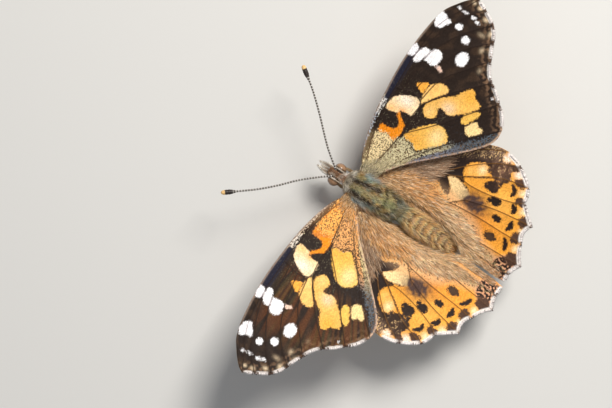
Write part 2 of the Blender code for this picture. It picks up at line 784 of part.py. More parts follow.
def antenna_radius(share, length):
    """The shaft is even, and swells into a club that ends in a blunt tip."""
    club_start = 1.0 - CLUB_LENGTH / length
    return smooth_value([(0.0, ANTENNA_RADIUS), (club_start - 0.05, ANTENNA_RADIUS),
                         (club_start + 0.06, CLUB_RADIUS), (0.96, CLUB_RADIUS * 0.95),
                         (1.0, ANTENNA_TIP_RADIUS)], share)


def make_antennae(parts, cutters):
    made = []
    for side, route in ANTENNA_ROUTES.items():
        name = "antenna_" + side_name(side)
        smooth = curve_through(route, steps_per_span=12)
        lengths = [0.0]
        for a, b in zip(smooth, smooth[1:]):
            lengths.append(lengths[-1] + (b - a).length)
        total = lengths[-1]
        places = []
        radii = []
        for i in range(ANTENNA_STEPS + 1):
            share = (i / ANTENNA_STEPS) ** 0.8
            k = next(j for j in range(1, len(lengths)) if lengths[j] >= share * total - 1e-9)
            t = (share * total - lengths[k - 1]) / (lengths[k] - lengths[k - 1])
            point = smooth[k - 1].lerp(smooth[k], t)
            places.append((side * point.x, point.y, point.z))
            radii.append(antenna_radius(share, total))
        mesh = tube_mesh(name, places, radii)
        antenna = finish_part(name, mesh, new_material(name, DARK_BROWN, 0.5), parts)
        cut_away(antenna, head_mesh("head_clearance", GAP), cutters)
        made.append(antenna)
    return made


def mouthpart_coil(name):
    """The coiled tongue: a thin turned disc, grooved on both faces between its turns."""
    steps = COIL_TURNS * 4
    profile = [(0.0, COIL_THICKNESS / 2)]
    for i in range(1, steps + 1):
        share = i / steps
        groove = COIL_GROOVE if i % 4 == 0 and i < steps else 0.0
        profile.append((COIL_RADIUS * share, COIL_THICKNESS / 2 - groove))
    profile += [(r, -z) for r, z in reversed(profile)]
    work = bmesh.new()
    verts = [work.verts.new((r, 0.0, z)) for r, z in profile]
    edges = [work.edges.new(pair) for pair in zip(verts, verts[1:])]
    bmesh.ops.spin(work, geom=verts + edges, axis=(0, 0, 1), cent=(0, 0, 0), angle=2 * math.pi, steps=20,
                   use_merge=True)
    bmesh.ops.remove_doubles(work, verts=work.verts, dist=0.001)
    bmesh.ops.recalc_face_normals(work, faces=work.faces)
    mesh = bpy.data.meshes.new(name)
    work.to_mesh(mesh)
    work.free()
    mesh.transform(Matrix.Rotation(math.pi / 2, 4, "Y"))
    mesh.transform(Matrix.Translation(COIL_CENTRE))
    return mesh


def make_mouthparts(parts, cutters):
    """The pair of palps in front of the face, and the coiled tongue under it."""
    made = []
    for side in (LEFT, RIGHT):
        name = "palp_" + side_name(side)
        smooth = curve_through(PALP_ROUTE, steps_per_span=3)
        places = [(HEAD_SIDE + side * p.x, p.y, p.z) for p in smooth]
        pairs = [(i, r) for i, r in enumerate(PALP_RADII)]
        radii = [smooth_value(pairs, i / 3) for i in range(len(places))]
        palp = finish_part(name, tube_mesh(name, places, radii), new_material(name, CREAM, 0.85), parts)
        cut_away(palp, head_mesh("head_clearance", GAP), cutters)
        made.append(palp)
    tongue = finish_part("proboscis", mouthpart_coil("proboscis"),
                         new_material("proboscis", DARK_BROWN, 0.5), parts)
    cut_away(tongue, head_mesh("head_clearance", GAP), cutters)
    made.append(tongue)
    return made


def make_legs(parts, cutters):
    """Four walking legs that stand on the floor, and the two small forelegs folded to the chest."""
    made = []
    for kind, route in LEG_ROUTES.items():
        for side in (LEFT, RIGHT):
            name = kind + "_" + side_name(side)
            smooth = curve_through(route, steps_per_span=LEG_STEPS_PER_SPAN)
            places = [(side * p.x, p.y, p.z) for p in smooth]
            pairs = [(i, r) for i, r in enumerate(LEG_RADII[kind])]
            radii = [smooth_value(pairs, i / LEG_STEPS_PER_SPAN) for i in range(len(places))]
            mesh = tube_mesh(name, places, radii)
            if kind != "foreleg":
                cut_below_floor(mesh)
            leg = finish_part(name, mesh, new_material(name, CREAM, 0.7), parts)
            cut_away(leg, thorax_mesh("thorax_clearance", GAP), cutters)
            made.append(leg)
    return made


def seat_on_floor(things):
    """Move the whole onto the floor, centred, and scale it from millimetres to metres."""
    corners = [v.co for thing in things for v in thing.data.vertices]
    low = Vector([min(c[k] for c in corners) for k in range(3)])
    high = Vector([max(c[k] for c in corners) for k in range(3)])
    middle = (low + high) / 2
    shift = Matrix.Translation((-middle.x, -middle.y, -low.z))
    scale = Matrix.Scale(MM, 4)
    for thing in things:
        thing.data.transform(scale @ shift)


def hang_on_root(things, collection):
    """Parent every part to one empty at the origin."""
    root = bpy.data.objects.new("butterfly_root", None)
    collection.objects.link(root)
    for thing in things:
        thing.parent = root


def main():
    clear_scene()
    parts = new_collection("painted_lady_butterfly")
    cutters = new_collection("cutters")
    made = make_body(parts)
    made += make_wings(parts, cutters)
    made += make_eyes(parts, cutters)
    made += make_antennae(parts, cutters)
    made += make_mouthparts(parts, cutters)
    made += make_legs(parts, cutters)
    seat_on_floor(made)
    for thing in made:
        shade_round(thing.data)
    hang_on_root(made, parts)


main()
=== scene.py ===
"""A painted lady butterfly, life size, standing on a pale floor with its wings spread."""
from math import ceil, cos, pi, radians, sin, tau

import bpy
import numpy as np
from mathutils import Matrix, Vector
from mathutils.geometry import delaunay_2d_cdt
from mathutils.kdtree import KDTree

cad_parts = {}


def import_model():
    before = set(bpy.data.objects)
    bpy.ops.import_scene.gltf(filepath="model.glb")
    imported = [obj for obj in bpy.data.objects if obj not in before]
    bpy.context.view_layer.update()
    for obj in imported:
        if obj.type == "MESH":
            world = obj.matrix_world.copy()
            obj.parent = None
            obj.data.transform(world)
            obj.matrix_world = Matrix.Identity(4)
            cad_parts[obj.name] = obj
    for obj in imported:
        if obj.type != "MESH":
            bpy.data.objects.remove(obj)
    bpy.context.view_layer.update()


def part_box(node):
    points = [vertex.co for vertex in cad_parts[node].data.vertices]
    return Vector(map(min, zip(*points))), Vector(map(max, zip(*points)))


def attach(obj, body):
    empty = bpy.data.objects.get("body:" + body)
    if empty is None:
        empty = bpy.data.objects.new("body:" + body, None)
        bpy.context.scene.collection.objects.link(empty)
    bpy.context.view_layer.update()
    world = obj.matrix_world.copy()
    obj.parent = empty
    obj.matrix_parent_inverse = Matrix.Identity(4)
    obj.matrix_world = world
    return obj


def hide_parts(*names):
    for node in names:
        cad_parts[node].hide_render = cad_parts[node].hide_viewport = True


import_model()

MM = 0.001
LEFT = 1
RIGHT = -1
SIDES = {"left": LEFT, "right": RIGHT}
# All shapes are measured in millimetres from the front of the chest: x to the butterfly's left,
# y to its rear and z up. These two lengths take them to the shared frame.
FLOOR_DROP = 6.5
SHIFT = -1.45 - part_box("thorax")[0].y / MM
rng = np.random.default_rng(11)
# Step between the points of a drawn zone's edge.
ZONE_STEP = 0.4


# Curves and distances

def smooth_values(pairs, at):
    """Read a smooth curve through (position, value) pairs at many places, as a monotone cubic."""
    xs, ys = np.array(pairs, float).T
    at = np.clip(np.asarray(at, float), xs[0], xs[-1])
    widths = np.diff(xs)
    slopes = np.diff(ys) / widths
    product = slopes[:-1] * slopes[1:]
    total = np.where(product > 0, slopes[:-1] + slopes[1:], 1.0)
    inner = np.where(product > 0, 2 * product / total, 0.0)
    tangents = np.concatenate([slopes[:1], inner, slopes[-1:]])
    span = np.clip(np.searchsorted(xs, at, "left") - 1, 0, len(widths) - 1)
    w = widths[span]
    t = (at - xs[span]) / w
    start = (1 + 2 * t) * (1 - t) ** 2 * ys[span] + t * (1 - t) ** 2 * w * tangents[span]
    end = t * t * (3 - 2 * t) * ys[span + 1] + t * t * (t - 1) * w * tangents[span + 1]
    return start + end


def curve_through(points, step, closed=False):
    """Points about one step apart along a Catmull-Rom curve through the given points."""
    route = np.array(points, float)
    if closed:
        route = np.concatenate([route[-1:], route, route[:2]])
    else:
        route = np.concatenate([[2 * route[0] - route[1]], route, [2 * route[-1] - route[-2]]])
    pieces = []
    for i in range(1, len(route) - 2):
        p0, p1, p2, p3 = route[i - 1 : i + 3]
        count = max(1, ceil(np.linalg.norm(p2 - p1) / step))
        t = (np.arange(count) / count)[:, None]
        pieces.append((2 * p1 + (p2 - p0) * t + (2 * p0 - 5 * p1 + 4 * p2 - p3) * t**2
                       + (3 * p1 - p0 - 3 * p2 + p3) * t**3) / 2)
    if not closed:
        pieces.append(route[-2:-1])
    return np.concatenate(pieces)


def path_distance(points, path):
    """Distance of each point to a polyline, and how far along it the nearest place is, 0 to 1."""
    nearest = np.full(len(points), 1e9)
    share = np.zeros(len(points))
    for i, (start, end) in enumerate(zip(path, path[1:])):
        along = end - start
        size = along @ along
        if size < 1e-12:
            continue
        t = np.clip((points - start) @ along / size, 0.0, 1.0)
        distance = np.linalg.norm(points - start - t[:, None] * along, axis=1)
        closer = distance < nearest
        nearest = np.where(closer, distance, nearest)
        share = np.where(closer, (i + t) / (len(path) - 1), share)
    return nearest, share


def signed_distance(points, loop):
    """Distance to a closed loop, negative inside it."""
    path = np.concatenate([loop, loop[:1]])
    distance, _ = path_distance(points, path)
    inside = np.zeros(len(points), bool)
    for (x0, y0), (x1, y1) in zip(path, path[1:]):
        if y0 == y1:
            continue
        spans = (points[:, 1] < y0) != (points[:, 1] < y1)
        crossing = x0 + (points[:, 1] - y0) / (y1 - y0) * (x1 - x0)
        inside ^= spans & (points[:, 0] < crossing)
    return np.where(inside, -distance, distance)


def zone_distance(points, zone, step=ZONE_STEP):
    """Distance to a closed zone drawn smoothly through its corners, negative inside it."""
    return signed_distance(points, curve_through(zone, step, closed=True))


def nearest_tree(points):
    """A tree that finds the nearest of many places in a plane."""
    tree = KDTree(len(points))
    for i, (a, b) in enumerate(points):
        tree.insert((a, b, 0.0), i)
    tree.balance()
    return tree


def nearest_to(tree, points):
    """Which of the tree's places is nearest to each point, and how far it is."""
    found = [tree.find((a, b, 0.0)) for a, b in points]
    return [f[1] for f in found], np.array([f[2] for f in found])


def travelled_along(route):
    """Length of a route from its start up to each of its points."""
    return np.append(0.0, np.cumsum(np.linalg.norm(np.diff(route, axis=0), axis=1)))


def fade(low, high, value):
    """Rises smoothly from 0 to 1 as the value goes from low to high, which may be the smaller one."""
    t = np.clip((value - low) / (high - low), 0.0, 1.0)
    return t * t * (3 - 2 * t)


# Colours

def linear(red, green, blue):
    """A colour read from 0 to 255 on a screen, as the renderer's own linear values."""
    c = np.array([red, green, blue], float) / 255
    return np.where(c <= 0.04045, c / 12.92, ((c + 0.055) / 1.055) ** 2.4)


def toward(colours, colour, share):
    """Each colour moved toward one other by its own share."""
    share = np.clip(share, 0.0, 1.0)[:, None]
    return colours * (1 - share) + np.asarray(colour) * share


def plain(count, *colour):
    """One colour for each of many points."""
    return np.tile(linear(*colour), (count, 1))


def layered(colours, *layers):
    """Colours painted over one after the other, each colour with its own share at each point."""
    for colour, share in layers:
        colours = toward(colours, linear(*colour), share)
    return colours


def soft_spot(points, a, b, across, along, strength=1.0):
    """A soft oval of influence about a place, one at its middle."""
    far = ((points[:, 0] - a) / across) ** 2 + ((points[:, 1] - b) / along) ** 2
    return strength * np.exp(-far)


def mottle(points, size, seed):
    """Soft random patches about one size across, from 0 to 1."""
    local = np.random.default_rng(seed)
    total = np.zeros(len(points))
    for _ in range(14):
        way = local.normal(size=points.shape[1])
        way = way / np.linalg.norm(way) * local.uniform(0.6, 1.5) * tau / size
        total += np.sin(points @ way + local.uniform(0, tau))
    return np.clip(0.5 + total / 7.5, 0.0, 1.0)


# Meshes

def world(points):
    """Millimetres in the measuring frame to metres in the shared one."""
    return (np.asarray(points, float) + (0.0, -SHIFT, FLOOR_DROP)) * MM


def new_piece(name, points, faces, materials, material_index=None, smooth=True):
    """A piece from points in millimetres, and arrays of faces that each hold one number of corners."""
    faces = [np.asarray(group, np.int32) for group in faces if len(group)]
    mesh = bpy.data.meshes.new(name)
    mesh.vertices.add(len(points))
    mesh.vertices.foreach_set("co", world(points).astype(np.float32).ravel())
    corners = np.concatenate([group.ravel() for group in faces])
    sizes = np.concatenate([np.full(len(group), group.shape[1]) for group in faces])
    mesh.loops.add(len(corners))
    mesh.loops.foreach_set("vertex_index", corners)
    mesh.polygons.add(len(sizes))
    mesh.polygons.foreach_set("loop_start", np.concatenate([[0], np.cumsum(sizes)[:-1]]).astype(np.int32))
    mesh.update(calc_edges=True)
    mesh.polygons.foreach_set("use_smooth", np.full(len(sizes), smooth))
    if material_index is not None:
        mesh.polygons.foreach_set("material_index", np.asarray(material_index, np.int32))
    for material in materials:
        mesh.materials.append(material)
    piece = bpy.data.objects.new(name, mesh)
    bpy.context.scene.collection.objects.link(piece)
    return piece


def store(piece, name, values):
    """Keep one value, vector or colour a vertex, for the material to read."""
    values = np.asarray(values, np.float32)
    if values.ndim == 1:
        kind, field = "FLOAT", "value"
    elif values.shape[1] == 4:
        kind, field = "FLOAT_COLOR", "color"
    else:
        kind, field = "FLOAT_VECTOR", "vector"
    layer = piece.data.attributes.new(name, kind, "POINT")
    layer.data.foreach_set(field, values.ravel())


def store_colour(piece, name, colours):
    store(piece, name, np.concatenate([colours, np.ones((len(colours), 1))], axis=1))


def store_unwrap(piece, places):
    """The map that colours are baked on: one place from 0 to 1 for each vertex."""
    layer = piece.data.uv_layers.new(name="OFBake")
    corners = np.empty(len(piece.data.loops), np.int32)
    piece.data.loops.foreach_get("vertex_index", corners)
    layer.data.foreach_set("uv", np.asarray(places, np.float32)[corners].ravel())


def rolled_faces(rows, around):
    """Faces of a closed tube made of rings of points: its side, and a cap at each end."""
    index = np.arange(rows * around).reshape(rows, around)
    after = np.roll(index, -1, axis=1)
    side = np.stack([index[:-1], after[:-1], after[1:], index[1:]], -1).reshape(-1, 4)
    first = np.stack([np.full(around - 2, index[0, 0]), index[0, 2:], index[0, 1:-1]], -1)
    last = np.stack([np.full(around - 2, index[-1, 0]), index[-1, 1:-1], index[-1, 2:]], -1)
    return [side, first, last]


def keep(piece, slot_name, *nodes):
    """The piece rides on the part's one body, and may stand for some of its nodes."""
    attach(piece, "root")
    if nodes:
        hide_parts(*nodes)
    return piece


# Materials

class Finish:
    """One material, with short ways to add and join its nodes."""

    def __init__(self, name, roughness, colour=(0.5, 0.5, 0.5), specular=0.5, sheen=0.0, coat=0.0):
        self.material = bpy.data.materials.new(name)
        self.material.use_nodes = True
        self.nodes = self.material.node_tree.nodes
        self.links = self.material.node_tree.links
        self.shader = self.nodes["Principled BSDF"]
        self.shader.inputs["Roughness"].default_value = roughness
        self.shader.inputs["Base Color"].default_value = (*colour, 1.0)
        self.shader.inputs["Specular IOR Level"].default_value = specular
        self.shader.inputs["Sheen Weight"].default_value = sheen
        self.shader.inputs["Coat Weight"].default_value = coat

    def feed(self, socket, value):
        if isinstance(value, bpy.types.NodeSocket):
            self.links.new(value, socket)
        elif isinstance(value, (tuple, list, np.ndarray)) and len(value) == 3 and socket.type == "RGBA":
            socket.default_value = (*[float(v) for v in value], 1.0)
        else:
            socket.default_value = value

    def node(self, kind, **settings):
        made = self.nodes.new(kind)
        for key, value in settings.items():
            setattr(made, key, value)
        return made

    def math(self, operation, *values):
        made = self.node("ShaderNodeMath", operation=operation)
        for socket, value in zip(made.inputs, values):
            self.feed(socket, value)
        return made.outputs[0]

    def plus(self, first, second):
        return self.math("ADD", first, second)

    def times(self, first, second):
        return self.math("MULTIPLY", first, second)

    def about_zero(self, value, reach):
        """A value from 0 to 1, moved to run from minus to plus half the reach."""
        return self.times(self.math("SUBTRACT", value, 0.5), reach)

    def attribute(self, name, output="Fac"):
        made = self.node("ShaderNodeAttribute", attribute_name=name)
        return made.outputs[output]

    def mix(self, share, first, second, blend="MIX"):
        made = self.node("ShaderNodeMix", data_type="RGBA", blend_type=blend)
        self.feed(made.inputs[0], share)
        self.feed(made.inputs[6], first)
        self.feed(made.inputs[7], second)
        return made.outputs[2]

    def stretch(self, vector, x, y, z):
        made = self.node("ShaderNodeVectorMath", operation="MULTIPLY")
        self.feed(made.inputs[0], vector)
        made.inputs[1].default_value = (x, y, z)
        return made.outputs[0]

    def noise(self, vector, scale, detail=2.0):
        made = self.node("ShaderNodeTexNoise")
        self.feed(made.inputs["Vector"], vector)
        made.inputs["Scale"].default_value = scale
        made.inputs["Detail"].default_value = detail
        return made.outputs["Fac"]

    def cells(self, vector, scale, randomness=1.0):
        """Voronoi cells: the distance from each cell's middle, and a random colour for each cell."""
        made = self.node("ShaderNodeTexVoronoi")
        self.feed(made.inputs["Vector"], vector)
        made.inputs["Scale"].default_value = scale
        made.inputs["Randomness"].default_value = randomness
        return made.outputs["Distance"], made.outputs["Color"]

    def split(self, colour):
        made = self.node("ShaderNodeSeparateColor")
        self.feed(made.inputs[0], colour)
        return made.outputs[0], made.outputs[1], made.outputs[2]

    def ramp(self, value, low, high, start=0.0, end=1.0):
        made = self.node("ShaderNodeMapRange", interpolation_type="SMOOTHSTEP", clamp=True)
        for key, one in zip(("Value", "From Min", "From Max", "To Min", "To Max"),
                            (value, low, high, start, end)):
            self.feed(made.inputs[key], one)
        return made.outputs[0]

    def colour(self, value):
        self.links.new(value, self.shader.inputs["Base Color"])

    def shaded(self, colour, shade):
        """Paint the colour, lighter or darker by the shade."""
        grey = self.node("ShaderNodeCombineColor")
        for socket in grey.inputs[:3]:
            self.links.new(shade, socket)
        self.colour(self.mix(1.0, colour, grey.outputs[0], "MULTIPLY"))

    def bump(self, height, distance, strength=1.0):
        made = self.node("ShaderNodeBump")
        self.feed(made.inputs["Height"], height)
        made.inputs["Distance"].default_value = distance
        made.inputs["Strength"].default_value = strength
        self.links.new(made.outputs[0], self.shader.inputs["Normal"])


def wing_finish():
    """Wing scales: two colours that meet along a drawn edge, dusted with pale scales whose colour holds
    painted sheen on the right forewing, and darkened scale by scale.
    """
    vein_contrast = 0.85
    speckle = 0.5
    streaking = 0.3
    finish = Finish("wing_scale_finish", roughness=0.62, specular=0.14)
    plane = finish.attribute("plane", "Vector")
    gap, tone = finish.cells(finish.stretch(plane, 6.5, 9.5, 1.0), 1.0, 0.85)
    first, second, third = finish.split(tone)
    streak = finish.noise(finish.attribute("rays", "Vector"), 9.0, 2.0)
    drift = finish.about_zero(finish.noise(plane, 3.2, 3.0), 0.26)
    place = finish.plus(finish.plus(finish.attribute("edge"), finish.about_zero(first, 0.24)), drift)
    inside = finish.ramp(place, 0.09, -0.09)
    colour = finish.mix(inside, finish.attribute("ground", "Color"), finish.attribute("patch", "Color"))
    dust = finish.plus(finish.attribute("dust"), finish.about_zero(streak, 0.35))
    dusted = finish.ramp(finish.math("SUBTRACT", dust, second), -0.06, 0.06)
    dusted = finish.times(dusted, finish.ramp(finish.attribute("dust"), 0.02, 0.12))
    colour = finish.mix(dusted, colour, finish.attribute("dust_colour", "Color"))
    flecked = finish.ramp(finish.math("SUBTRACT", finish.attribute("flecks"), third), -0.05, 0.05)
    colour = finish.mix(flecked, colour, linear(112, 82, 52))
    vein = finish.ramp(finish.attribute("vein"), 0.13, 0.03, 0.0, vein_contrast)
    colour = finish.mix(vein, colour, finish.attribute("vein_colour", "Color"))
    shade = finish.plus(finish.times(third, speckle), finish.times(streak, streaking))
    finish.shaded(colour, finish.plus(shade, 1.0 - (speckle + streaking) / 2))
    height = finish.plus(finish.times(gap, -0.8), finish.times(third, 0.5))
    finish.bump(finish.plus(height, finish.times(streak, 1.2)), 0.00003, 0.6)
    return finish.material


def tuft_finish():
    """Hair: the tuft's own colour, a little different from strand to strand and streaked along it."""
    variety = 0.45
    finish = Finish("hair_finish", roughness=0.7, specular=0.22, sheen=0.08)
    tone = finish.times(finish.attribute("tone"), variety)
    finish.shaded(finish.attribute("hair", "Color"), finish.plus(tone, 1.0 - variety / 2))
    return finish.material


# The wings' shapes, the same as in the solids

# Each wing turns up by its dihedral about its hinge. Its plane has x out and y to the rear from there.
FOREWING_HINGE = (2.75, 0.8, 1.75)
FOREWING_DIHEDRAL = radians(17)
HINDWING_HINGE = (2.5, 4.4, 0.6)
HINDWING_DIHEDRAL = radians(15)
HINDWING_SWING = radians(2.6)

FOREWING_ROOT = [(-1.3, -1.1), (-1.3, 1.1)]
FOREWING_COSTA = [(0.0, -1.35), (1.2, -2.05), (3.4, -2.85), (7.0, -3.7), (11.0, -4.2), (16.0, -4.5),
                  (21.0, -4.2), (24.8, -3.5), (27.0, -2.25), (28.5, -1.0)]
# Where the veins meet the outer margin, and how far the margin bulges out between them.
FOREWING_ENDS = [(29.15, -0.05), (28.5, 1.55), (27.3, 3.6), (25.2, 5.05), (22.9, 6.1), (20.3, 7.9),
                 (18.3, 10.35), (15.3, 12.6)]
FOREWING_BULGES = [0.1, 0.05, 0.1, -0.1, -0.25, 0.12, 0.35]
FOREWING_INNER = [(13.7, 12.65), (11.9, 11.8), (9.3, 9.5), (6.4, 6.65), (3.6, 3.9), (1.3, 2.1)]
FOREWING_VEINS = [
    [(0.8, -1.1), (4.5, -2.3), (9.5, -3.1), (13.0, -3.3), (18.0, -3.4), (23.0, -2.9), (27.0, -1.1),
     (29.15, -0.05)],
    [(18.0, -3.4), (22.0, -2.2), (25.5, -0.7), (28.5, 1.55)],
    [(12.6, -2.3), (15.5, -2.1), (19.3, -1.75), (23.8, 0.55), (27.3, 3.6)],
    [(13.0, -0.9), (18.6, 0.25), (22.3, 2.1), (25.2, 5.05)],
    [(12.6, 0.65), (16.4, 1.4), (19.4, 3.3), (22.9, 6.1)],
    [(0.8, -0.05), (3.5, 0.5), (7.0, 0.95), (11.6, 1.05), (15.5, 3.45), (18.3, 5.9), (20.3, 7.9)],
    [(7.0, 0.95), (11.1, 4.6), (13.4, 6.4), (16.0, 8.4), (18.3, 10.35)],
    [(0.8, 1.05), (4.0, 3.1), (6.5, 4.95), (9.5, 7.3), (12.0, 9.4), (15.3, 12.6)],
    [(12.4, -3.25), (12.6, -2.3), (13.0, -0.9), (12.6, 0.65), (11.6, 1.05)],
]

HINDWING_COSTA = [(0.6, -2.3), (3.4, -1.6), (6.6, 0.6), (9.8, 3.6), (12.2, 6.6), (13.5, 9.0)]
HINDWING_ENDS = [(13.9, 10.8), (13.25, 13.6), (11.4, 16.3), (9.3, 17.15), (6.95, 20.05), (4.1, 20.25),
                 (1.3, 22.1)]
HINDWING_ANAL_END = (-0.75, 21.35)
HINDWING_BULGES = [0.15, 0.1, 0.15, -0.05, -0.6, -0.25, -0.15, 0.05]
HINDWING_VEINS = [
    [(0.9, -0.9), (4.0, 0.7), (8.0, 3.6), (11.8, 7.4), (13.9, 10.8)],
    [(0.9, 0.15), (3.4, 2.6), (5.6, 4.6), (8.6, 7.1), (11.2, 10.0), (13.25, 13.6)],
    [(5.6, 4.6), (6.9, 7.2), (8.1, 9.0), (9.75, 11.4), (10.7, 13.8), (11.4, 16.3)],
    [(6.9, 7.2), (6.75, 9.4), (7.3, 12.6), (8.4, 15.9), (9.3, 17.15)],
    [(4.6, 9.9), (5.35, 12.1), (6.1, 14.8), (6.6, 17.5), (6.95, 20.05)],
    [(0.9, 1.3), (2.0, 4.5), (3.0, 8.3), (3.55, 12.5), (3.85, 17.5), (4.1, 20.25)],
    [(2.0, 4.5), (1.15, 8.5), (0.65, 13.2), (0.95, 18.0), (1.3, 22.1)],
    [(0.3, 3.8), (-0.1, 8.5), (-0.6, 14.0), (-0.9, 18.5), (-0.75, 21.35)],
    [(3.0, 8.3), (4.6, 9.9)],
]
# Distances to the rear at which the hindwing's inner margin is drawn.
INNER_REARS = [24.2, 22.6, 21.0, 19.5, 18.2, 17.0, 15.8, 14.4, 12.8, 11.2, 9.7, 8.4, 7.3]

ABDOMEN_START = 7.9
ABDOMEN_LENGTH = 9.6
# Share of the abdomen's length, and its half width there.
ABDOMEN_HALF_WIDTHS = [(0.0, 1.2), (0.1, 1.45), (0.35, 1.62), (0.6, 1.45), (0.8, 1.1), (0.93, 0.72),
                       (1.0, 0.3)]

# The net of a wing's points, half its thickness, and how its veins, pleats and front edge stand up.
NET_STEP = 0.15
SKIN_HALF = 0.07
FRINGE_INSET = 0.28
VEIN_RISE = 0.08
VEIN_HALF = 0.13
MEMBRANE_SAG = 0.1
SAG_REACH = 0.9
COSTA_RISE = 0.1
COSTA_HALF = 0.25
# Rows of the net's points beside each vein, and the least distance kept between points.
BESIDE_VEIN = (-0.22, -0.11, 0.11, 0.22)
BESIDE_CLEARANCE = 0.085
GRID_CLEARANCE = 0.1
EDGE_CLEARANCE = 0.08
# Height of an equilateral triangle over its side.
ROW_SHARE = 0.866


def abdomen_half_width(rear):
    return smooth_values(ABDOMEN_HALF_WIDTHS, (np.asarray(rear) - ABDOMEN_START) / ABDOMEN_LENGTH)


def abdomen_middle(rear):
    """Side and height of the abdomen's middle line."""
    run = np.maximum(0.0, np.asarray(rear, float) - ABDOMEN_START)
    return 0.035 * run, -0.05 - 1.9 * (run / ABDOMEN_LENGTH) ** 1.6


def hindwing_inner_margin(side):
    """The hindwing's inner margin in its own plane, from the rear to the root."""
    rear = np.array(INNER_REARS)
    middle, _ = abdomen_middle(rear)
    beside_abdomen = abdomen_half_width(rear) + 0.4 + side * middle
    slit = 0.3 + 0.42 * (rear - 17.5) / 8.2
    blend = fade(15.2, 18.6, rear)
    across = beside_abdomen * (1 - blend) + (0.2 + side * slit) * blend
    return hindwing_plane(side, across, rear)


def hindwing_plane(side, across, rear):
    """Take places seen from above to the hindwing's own plane."""
    out = (across - HINDWING_HINGE[0]) / cos(HINDWING_DIHEDRAL)
    back = rear - HINDWING_HINGE[1]
    swing = -side * HINDWING_SWING
    return np.stack([out * cos(swing) + back * sin(swing), -out * sin(swing) + back * cos(swing)], -1)


def outer_margin(ends, bulges, inset):
    """The scalloped outer margin, and for each place how far it is from one vein end to the next."""
    points = []
    shares = []
    ends = np.array(ends, float)
    for start, end, bulge in zip(ends, ends[1:], bulges):
        along = end - start
        size = np.linalg.norm(along)
        outward = np.array([along[1], -along[0]]) / size
        count = ceil(size / NET_STEP)
        t = (np.arange(count) / count)[:, None]
        points.append(start + along * t + outward * bulge * 4 * t * (1 - t))
        shares.append(t[:, 0])
    points = np.concatenate([*points, ends[-1:]])
    shares = np.concatenate([*shares, [1.0]])
    along = np.gradient(points, axis=0)
    kernel = np.ones(7) / 7
    padded = np.pad(along, ((3, 3), (0, 0)), mode="edge")
    along = np.stack([np.convolve(padded[:, k], kernel, "valid") for k in (0, 1)], -1)
    outward = np.stack([along[:, 1], -along[:, 0]], -1)
    outward /= np.linalg.norm(outward, axis=1)[:, None]
    travelled = np.arange(len(points)) * NET_STEP
    near_end = np.minimum(travelled, travelled[::-1])
    inward = inset * fade(0.0, 0.8, near_end)
    return points - outward * inward[:, None], shares, outward, inward


